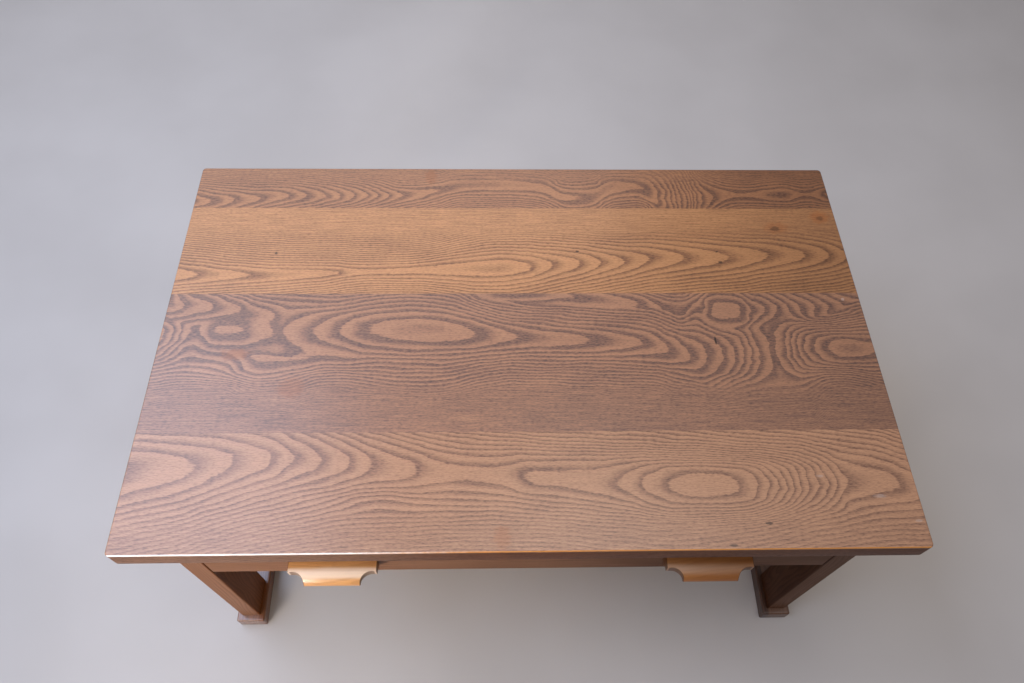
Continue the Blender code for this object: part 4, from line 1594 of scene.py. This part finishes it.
@dataclass
class Tabletop:
    """Four boards cut from one slab with rounded edges.

    Attributes:
        width: The slab's width.
        depth: Its depth.
        thickness: How thick it is.
        height: Where its upper face lies.
        edge_round: How round its edges are.
        rim: How far in its flat faces have a ring of points, which keeps them flat when shaded.
        corner_round: How round its corners are, seen from above.
        seams: Where the boards meet, from front to rear.
        hairline: How far each board stays back from a seam.
        round_steps: How many steps a rounding takes.
        labels: The boards' names, from front to rear.
    """

    width: float = 0.800
    depth: float = 0.500
    thickness: float = 0.026
    height: float = 0.350
    edge_round: float = 0.0015
    rim: float = 0.001875
    corner_round: float = 0.0045
    seams: tuple[float, ...] = (-0.123, 0.053, 0.183)
    hairline: float = 0.00003
    round_steps: int = 5
    labels: tuple[str, ...] = ("front", "mid_front", "mid_rear", "rear")

    def outline(self, inset: float) -> list[Pair]:
        """Draw the slab's plan.

        Args:
            inset: How far it is drawn in.

        Returns:
            The plan's points.
        """
        points = []
        for turn, (right, rear) in enumerate(((1, 1), (-1, 1), (-1, -1), (1, -1))):
            x = right * (self.width / 2 - self.corner_round)
            y = rear * (self.depth / 2 - self.corner_round)
            points += arc((x, y), self.corner_round - inset, 90 * turn, 90 * (turn + 1), self.round_steps)
        return points

    def slab(self, bench: Bench) -> bmesh.types.BMesh:
        """Build the whole slab as rings of points from its lower face to its upper face.

        Args:
            bench: Where places on the desk are turned into the frame's.

        Returns:
            The slab.
        """
        low, high = self.height - self.thickness, self.height
        edge = arc((self.edge_round, self.edge_round), self.edge_round, 180, 270, self.round_steps)
        upper = [(inset, high - drop) for inset, drop in edge] + [(self.rim, high)]
        lower = [(self.rim, low)] + [(inset, low + drop) for inset, drop in reversed(edge)]
        return skin([bench.world(x, y, z) for x, y in self.outline(inset)] for inset, z in lower + upper)

    def board_mesh(self, bench: Bench, name: str, near: float, far: float) -> bpy.types.Mesh:
        """Cut one board from the slab.

        Args:
            bench: Where places on the desk are turned into the frame's.
            name: The mesh's name.
            near: The seam or edge at its front.
            far: The seam or edge at its rear.

        Returns:
            The board.
        """
        shape = self.slab(bench)
        for place, side in ((near + self.hairline, -1), (far - self.hairline, 1)):
            if abs(place) > self.depth / 2 - self.edge_round:
                continue
            cut = bmesh.ops.bisect_plane(
                shape,
                geom=[*shape.verts, *shape.edges, *shape.faces],
                plane_co=bench.world(0, place, 0),
                plane_no=(0, side, 0),
                clear_outer=True,
            )
            edges = [item for item in cut["geom_cut"] if isinstance(item, bmesh.types.BMEdge)]
            bmesh.ops.edgenet_fill(shape, edges=edges)
        bmesh.ops.recalc_face_normals(shape, faces=shape.faces)
        return shade(mesh_of(shape, name))

    def build(self, bench: Bench) -> None:
        """Add the four boards.

        Args:
            bench: Where pieces are added.
        """
        edges = (-self.depth / 2, *self.seams, self.depth / 2)
        centre = bench.world(0, 0, self.height)
        for label, finish, near, far in zip(self.labels, TOP_FINISHES, edges, edges[1:]):
            name = f"top_board_{label}"
            mesh = self.board_mesh(bench, f"{name}_dressed", near, far)
            bench.add(f"{name}_dressed", mesh, finish.make(centre), Body.FRAME, Slot.TOP, [name])


@dataclass(frozen=True)
class Bar:
    """One bar of the frame: its CAD node, its limits on the desk, its edge radius and its grain."""

    node: str
    x: Pair
    y: Pair
    z: Pair
    radius: float
    along: Along


@dataclass
class SideFrames:
    """Posts on foot runners, with the aprons and the rail between them.

    The x and y of posts, runners and side aprons are distances from the centre lines, because they come in
    pairs. Those of the rear apron and the rail are places on the desk.
    """

    post_x: Pair = (0.337, 0.361)
    post_y: Pair = (0.187, 0.233)
    post_z: Pair = (0.0223, 0.3237)
    post_round: float = 0.0016
    runner_x: Pair = (0.331, 0.367)
    runner_y: float = 0.2405
    runner_z: Pair = (0.0, 0.022)
    runner_round: float = 0.0022
    apron_x: Pair = (0.337, 0.355)
    apron_z: Pair = (0.231, 0.3237)
    rear_apron_y: Pair = (0.208, 0.226)
    rail_y: Pair = (-0.232, -0.192)
    rail_z: Pair = (0.304, 0.3237)
    arris: float = 0.001
    gap: float = 0.0002

    @staticmethod
    def woods() -> dict[Along, bpy.types.Material]:
        """Make the frame's finishes.

        Returns:
            The finishes, by the way that their grain runs.
        """
        return {
            along: BarFinish(
                f"frame_wood_{along.name.lower()}",
                along,
                FRAME_STAIN,
                SATIN if along is Along.Y else RUBBED,
                contrast=0.5,
                seed=5.0,
                # Painted shade darkens the frame woods towards the right, and the inner faces inside the
                # posts' line.
                painted_shade=0.6,
                inner_shade=0.0 if along is Along.X else 0.9,
            ).make()
            for along in Along
        }

    @staticmethod
    def mirror(side: int, limits: Pair) -> Pair:
        """Turn distances from the centre line into limits on one side of it."""
        return limits if side > 0 else (-limits[1], -limits[0])

    def bars(self) -> Iterator[Bar]:
        """List the posts, runners, aprons and the front rail.

        Yields:
            Each bar.
        """
        inner = self.post_y[0] - self.gap
        reach = self.post_x[0] - self.gap
        for side, side_name in SIDES:
            for end, end_name in ENDS:
                node = f"post_{end_name}_{side_name}"
                x, y = self.mirror(side, self.post_x), self.mirror(end, self.post_y)
                yield Bar(node, x, y, self.post_z, self.post_round, Along.Z)
            x, y = self.mirror(side, self.runner_x), (-self.runner_y, self.runner_y)
            yield Bar(f"foot_runner_{side_name}", x, y, self.runner_z, self.runner_round, Along.Y)
            x, y = self.mirror(side, self.apron_x), (-inner, inner)
            yield Bar(f"side_apron_{side_name}", x, y, self.apron_z, self.arris, Along.Y)
        yield Bar("rear_apron", (-reach, reach), self.rear_apron_y, self.apron_z, self.arris, Along.X)
        yield Bar("front_rail", (-reach, reach), self.rail_y, self.rail_z, self.arris, Along.X)

    def build(self, bench: Bench, woods: dict[Along, bpy.types.Material]) -> None:
        """Add every bar in place of its CAD node.

        Args:
            bench: Where pieces are added.
            woods: The frame's finishes, by the way that their grain runs.
        """
        rule = EasedBar()
        for bar in self.bars():
            low, high = (bench.world(*corner) for corner in zip(bar.x, bar.y, bar.z))
            name, finish = f"{bar.node}_dressed", woods[bar.along]
            mesh = rule.mesh(name, low, high, bar.radius, finish)
            bench.add(name, mesh, finish, Body.FRAME, Slot.FRAME, [bar.node])


@dataclass
class Pulls:
    """Two carved pulls: a plan with two scoops, cut through by a rolled profile.

    Attributes:
        place: How far the middle of a pull lies from the desk's.
        level: How high it lies.
        back: Where the pull meets the drawer front.
        width: Its width.
        height: Its height.
        ear_reach: How far its ears stand out.
        ear_land: How wide the front of an ear is.
        scoop: The radius of a scoop.
        flat: How far its flat upper side reaches out.
        lip_under: How far the lip's edge lies below the middle.
        foot: How far the foot under the lip reaches out.
        cove: The radius of the cove over the foot.
        cove_rise: How far the cove rises above the lip's edge.
        margin: How far the two shapes reach past each other.
        ease: How round its edges are.
        ease_steps: How many steps these take.
        arc_steps: How many steps a scoop or the cove takes.
        nose_steps: How many steps the roll of the lip takes.
    """

    place: float = 0.198
    level: float = 0.26675
    back: float = -0.2333
    width: float = 0.092
    height: float = 0.020
    ear_reach: float = 0.0135
    ear_land: float = 0.005
    scoop: float = 0.012
    flat: float = 0.009
    lip_under: float = 0.003
    foot: float = 0.006
    cove: float = 0.007
    cove_rise: float = 0.002
    margin: float = 0.0003
    ease: float = 0.0009
    ease_steps: int = 3
    arc_steps: int = 16
    nose_steps: int = 24

    @property
    def reach(self) -> float:
        """How far the lip stands out."""
        return self.ear_reach + self.scoop

    @property
    def scoop_place(self) -> float:
        """How far the middle of a scoop lies from the pull's."""
        return self.width / 2 - self.ear_land

    def wood(self, bench: Bench) -> bpy.types.Material:
        """Make the pulls' finish.

        Args:
            bench: Where places on the desk are turned into the frame's.

        Returns:
            The finish.
        """
        scoop = bench.world(self.scoop_place, self.back - self.reach, 0.0) * MM
        return PullFinish(
            "pull_wood_carved",
            Along.X,
            PULL_STAIN,
            POLISHED,
            contrast=0.4,
            seed=91.0,
            pitch=2.6,
            # The pulls carry painted shade towards the right, a painted sheen band, and cut grain darkened
            # with painted shade.
            painted_shade=0.7,
            deep=PULL_SHADE_TINT,
            centre=self.place * MM,
            half=self.width / 2 * MM,
            scoop=(scoop.x, scoop.y),
            radius=self.scoop * MM,
            end_grain_and_shade=0.85,
        ).make()

    def plan(self) -> list[Pair]:
        """Draw a pull from above: two ears, a round scoop on each side, and the lip.

        Returns:
            The plan's points.
        """
        half = self.width / 2
        lip = self.scoop_place - self.scoop
        past = -self.reach - self.margin
        left = arc((-self.scoop_place, -self.reach), self.scoop, 90, 0, self.arc_steps)
        right = arc((self.scoop_place, -self.reach), self.scoop, 180, 90, self.arc_steps)
        first = [(-half, 0.0), (-half, -self.ear_reach), *left, (-lip, past)]
        return first + [(lip, past), *right, (half, -self.ear_reach), (half, 0.0)]

    def profile(self) -> list[Pair]:
        """Draw a pull from the side, outward and up: a rolled lip with a cove under it.

        Returns:
            The profile's points.
        """
        top = self.height / 2
        roll = self.reach - self.flat
        angles = [math.radians(90 * step / self.nose_steps) for step in range(self.nose_steps + 1)]
        nose = [(self.flat + roll * math.sin(angle), top * math.cos(angle)) for angle in angles]
        hollow = self.cove_rise - self.lip_under
        cove = arc((self.foot + self.cove, hollow - self.cove), self.cove, 90, 180, self.arc_steps)
        lip_edge = (self.reach - self.lip_under / 2, -self.lip_under)
        lip_back = (lip_edge[0] - self.lip_under, hollow)
        under = [lip_edge, lip_back, *cove, (self.foot, -top), (-self.margin, -top)]
        return [(-self.margin, top), *nose, *under]

    @staticmethod
    def prism(name: str, points: Sequence[Pair], thickness: float, turn: Matrix) -> bpy.types.Mesh:
        """Raise an outline into a prism, and turn it.

        Args:
            name: The mesh's name.
            points: The outline.
            thickness: The prism's height, around the outline's plane.
            turn: Its turn and place.

        Returns:
            The prism.
        """
        shape = skin([(x, y, z) for x, y in points] for z in (-thickness / 2, thickness / 2))
        bmesh.ops.recalc_face_normals(shape, faces=shape.faces)
        mesh = mesh_of(shape, name)
        mesh.transform(turn)
        return mesh

    def carve(self, name: str, blank: bpy.types.Mesh, cutter: bpy.types.Mesh) -> bpy.types.Mesh:
        """Keep what two shapes share, and ease its edges.

        Args:
            name: The pull's CAD node.
            blank: The first shape.
            cutter: The second shape.

        Returns:
            A plain mesh.
        """
        holder = link(name, blank)
        tool = link(f"{name}_cut", cutter)
        carve = holder.modifiers.new("carve", "BOOLEAN")
        carve.operation = "INTERSECT"
        carve.solver = "EXACT"
        carve.object = tool
        ease = holder.modifiers.new("ease", "BEVEL")
        ease.width = self.ease
        ease.segments = self.ease_steps
        ease.limit_method = "ANGLE"
        ease.angle_limit = SMOOTH_ANGLE
        mesh = settle(holder, f"{name}_dressed")
        bpy.data.objects.remove(tool)
        return mesh

    def build(self, bench: Bench) -> None:
        """Add both pulls.

        Args:
            bench: Where pieces are added.
        """
        wood = self.wood(bench)
        across = Matrix(((0, 0, -1), (-1, 0, 0), (0, 1, 0))).to_4x4()
        for side, side_name in SIDES:
            name = f"drawer_pull_{side_name}"
            centre = Matrix.Translation(bench.world(side * self.place, self.back, self.level))
            blank = self.prism(name, self.plan(), self.height + 2 * self.margin, centre)
            cutter = self.prism(f"{name}_cut", self.profile(), self.width + 2 * self.margin, centre @ across)
            mesh = self.carve(name, blank, cutter)
            bench.add(f"{name}_dressed", mesh, wood, Body.DRAWER, Slot.PULL, [name])


@dataclass
class Screws:
    """Countersunk wood screws with a square drive, set out by Geometry Nodes.

    Attributes:
        shank: The shank's radius.
        head: The head's radius.
        head_height: How deep the head is.
        point: How long the point is.
        drive: How wide the drive is.
        drive_depth: How deep it is.
        overlap: How far head, shank and point reach into each other, so that they weld.
        sides: How many sides the round stretches have.
    """

    shank: float = 0.002
    head: float = 0.004
    head_height: float = 0.0025
    point: float = 0.004
    drive: float = 0.0023
    drive_depth: float = 0.0018
    overlap: float = 0.0001
    sides: int = 24

    @staticmethod
    def aim_of(node: str) -> Vector:
        """Give the way that a screw is driven.

        Args:
            node: The CAD screw, whose name tells it.

        Returns:
            A vector of length 1.
        """
        if node.startswith("support_screw"):
            return Vector((-1.0 if node.endswith("left") else 1.0, 0.0, 0.0))
        if "pull_screw" in node:
            return Vector((0.0, -1.0, 0.0))
        return Vector((0.0, 0.0, 1.0))

    def seats(self, name: str, nodes: Sequence[str]) -> bpy.types.Mesh:
        """Mark where each screw's head sits, which way it is driven, and how long its shank is.

        Args:
            name: The mesh's name.
            nodes: The CAD screws.

        Returns:
            A mesh of loose points with these attributes.
        """
        places, aims, lengths = [], [], []
        for node in nodes:
            low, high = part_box(node)
            aim = self.aim_of(node)
            middle, half = (low + high) / 2, abs((high - low).dot(aim)) / 2
            places.append(middle - aim * half)
            aims.extend(aim)
            lengths.append(2 * half - self.head_height - self.point)
        mesh = bpy.data.meshes.new(name)
        mesh.from_pydata(places, [], [])
        mesh.attributes.new(ScrewRule.AIM, "FLOAT_VECTOR", "POINT").data.foreach_set("vector", aims)
        mesh.attributes.new(ScrewRule.LENGTH, "FLOAT", "POINT").data.foreach_set("value", lengths)
        return mesh

    def build(self, bench: Bench) -> None:
        """Set every screw, as one mesh for each body.

        Args:
            bench: Where pieces are added.
        """
        rule = ScrewRule()
        steel = SteelFinish().make()
        values = {
            "Shank Radius": self.shank,
            "Head Radius": self.head,
            "Head Height": self.head_height,
            "Point Length": self.point,
            "Drive Size": self.drive,
            "Drive Depth": self.drive_depth,
            "Overlap": self.overlap,
            "Sides": self.sides,
            "Material": steel,
        }
        screws = {node: item["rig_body"] for node, item in bench.nodes.items() if "_screw_" in node}
        for body in Body:
            nodes = [node for node, rides_on in screws.items() if rides_on == body.value]
            name = f"{body.value}_screws"
            mesh = rule.apply(name, self.seats(name, sorted(nodes)), values)
            bench.add(name, mesh, steel, body, Slot.STEEL, nodes)


@dataclass
class PaleParts:
    """The parts in pale wood that keep their CAD shapes: the drawer box and what guides it."""

    across: tuple[str, ...] = (
        "drawer_back",
        "drawer_bottom",
        "top_spline_front",
        "top_spline_middle",
        "top_spline_rear",
    )

    def dress(self, bench: Bench) -> None:
        """Give every pale part its finish, by the way that its grain runs.

        Args:
            bench: Where pieces are dressed.
        """
        woods = {}
        for along in (Along.X, Along.Y):
            name = f"box_wood_{along.name.lower()}"
            woods[along] = BarFinish(name, along, BOX_STAIN, BARE, contrast=0.5, seed=71.0).make()
        for node in bench.nodes_in(Slot.BOX):
            bench.dress(node, woods[Along.X if node in self.across else Along.Y])


@dataclass(frozen=True)
class SoftBox:
    """One soft box of the studio.

    Attributes:
        name: Its name.
        place: Where it hangs.
        target: What it points at.
        size: How wide it is along its two sides.
        power: Its power in watts.
        colour: Its colour.
        spread: How widely it fans out, as an angle.
    """

    name: str
    place: Triple
    target: Triple
    size: Pair
    power: float
    colour: Colour
    spread: float = math.pi

    def hang(self) -> None:
        """Hang it in the scene."""
        data = bpy.data.lights.new(self.name, "AREA")
        data.spread = self.spread
        data.shape = "RECTANGLE"
        data.size, data.size_y = self.size
        data.energy = self.power
        data.color = self.colour
        lamp = link(self.name, data)
        lamp.location = self.place
        lamp.rotation_euler = (Vector(self.target) - Vector(self.place)).to_track_quat("-Z", "Y").to_euler()


SOFT_BOXES = (
    SoftBox("window", (-1.15, 0.0, 1.9), (-0.05, 0.0, 0.3), (2.0, 1.3), 40.0, tint(198, 219, 255)),
    SoftBox("rear_panel", (-0.6, 1.5, 1.6), (0.0, 0.0, 0.35), (2.2, 1.4), 11.5, tint(236, 242, 255)),
    SoftBox("ceiling", (0.3, -0.3, 2.6), (0.0, 0.0, 0.3), (1.8, 1.8), 28.0, tint(250, 247, 246)),
    SoftBox(
        "front_window",
        (-0.9, -1.1, 0.62),
        (-0.33, -0.24, 0.27),
        (0.5, 0.5),
        1.2,
        tint(255, 250, 244),
        spread=math.radians(36),
    ),
)


@dataclass
class Studio:
    """The floor, the lights and the camera."""

    floor_half: float = 6.0
    floor_steps: int = 24
    around: Colour = tint(240, 240, 246)
    around_strength: float = 0.15
    lens: float = 27.44
    sensor: float = 36.0
    near: float = 0.01
    pitch: float = math.radians(58.404)
    yaw: float = math.radians(-3.051)
    roll: float = math.radians(2.412)
    eye: Triple = (-0.033, -0.4698, 1.0943)

    def build(self, bench: Bench) -> None:
        """Set up the whole studio.

        Args:
            bench: Where places on the desk are turned into the frame's.
        """
        self.add_floor()
        self.add_light_around()
        for soft_box in SOFT_BOXES:
            soft_box.hang()
        self.add_camera(bench)

    def add_floor(self) -> None:
        """Lay a flat floor under the runners."""
        shape = bmesh.new()
        steps = self.floor_steps
        bmesh.ops.create_grid(shape, x_segments=steps, y_segments=steps, size=self.floor_half)
        mesh = mesh_of(shape, "studio_floor")
        mesh.materials.append(FloorFinish().make())
        floor = link("studio_floor", mesh)

    def add_light_around(self) -> None:
        """Set the soft light all round."""
        world = bpy.data.worlds.new("studio")
        world.use_nodes = True
        background = world.node_tree.nodes["Background"]
        background.inputs["Color"].default_value = (*self.around, 1.0)
        background.inputs["Strength"].default_value = self.around_strength
        bpy.context.scene.world = world
        bpy.context.scene.view_settings.view_transform = "Standard"

    def add_camera(self, bench: Bench) -> None:
        """Put the camera at the photograph's viewpoint.

        Args:
            bench: Where places on the desk are turned into the frame's.
        """
        across = Vector((math.cos(self.yaw), math.sin(self.yaw), 0))
        ahead = Vector((-math.sin(self.yaw), math.cos(self.yaw), 0))
        up = ahead * math.sin(self.pitch) + Vector((0, 0, math.cos(self.pitch)))
        forward = ahead * math.cos(self.pitch) - Vector((0, 0, math.sin(self.pitch)))
        right = across * math.cos(self.roll) + up * math.sin(self.roll)
        upward = up * math.cos(self.roll) - across * math.sin(self.roll)
        data = bpy.data.cameras.new("camera")
        data.sensor_width = self.sensor
        data.sensor_fit = "HORIZONTAL"
        data.lens = self.lens
        data.clip_start = self.near
        camera = link("camera", data)
        turn = Matrix((right, upward, -forward)).transposed().to_4x4()
        camera.matrix_world = Matrix.Translation(bench.world(*self.eye)) @ turn
        bpy.context.scene.camera = camera


def main() -> None:
    """Build the desk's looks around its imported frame."""
    logging.basicConfig(level=logging.INFO, format="%(message)s")
    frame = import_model()
    bench = Bench(frame)
    Studio().build(bench)

    frame_woods = SideFrames.woods()
    Tabletop().build(bench)
    SideFrames().build(bench, frame_woods)
    bench.dress("drawer_front", frame_woods[Along.X])
    Pulls().build(bench)
    PaleParts().dress(bench)
    Screws().build(bench)


if __name__ == "__main__":
    main()
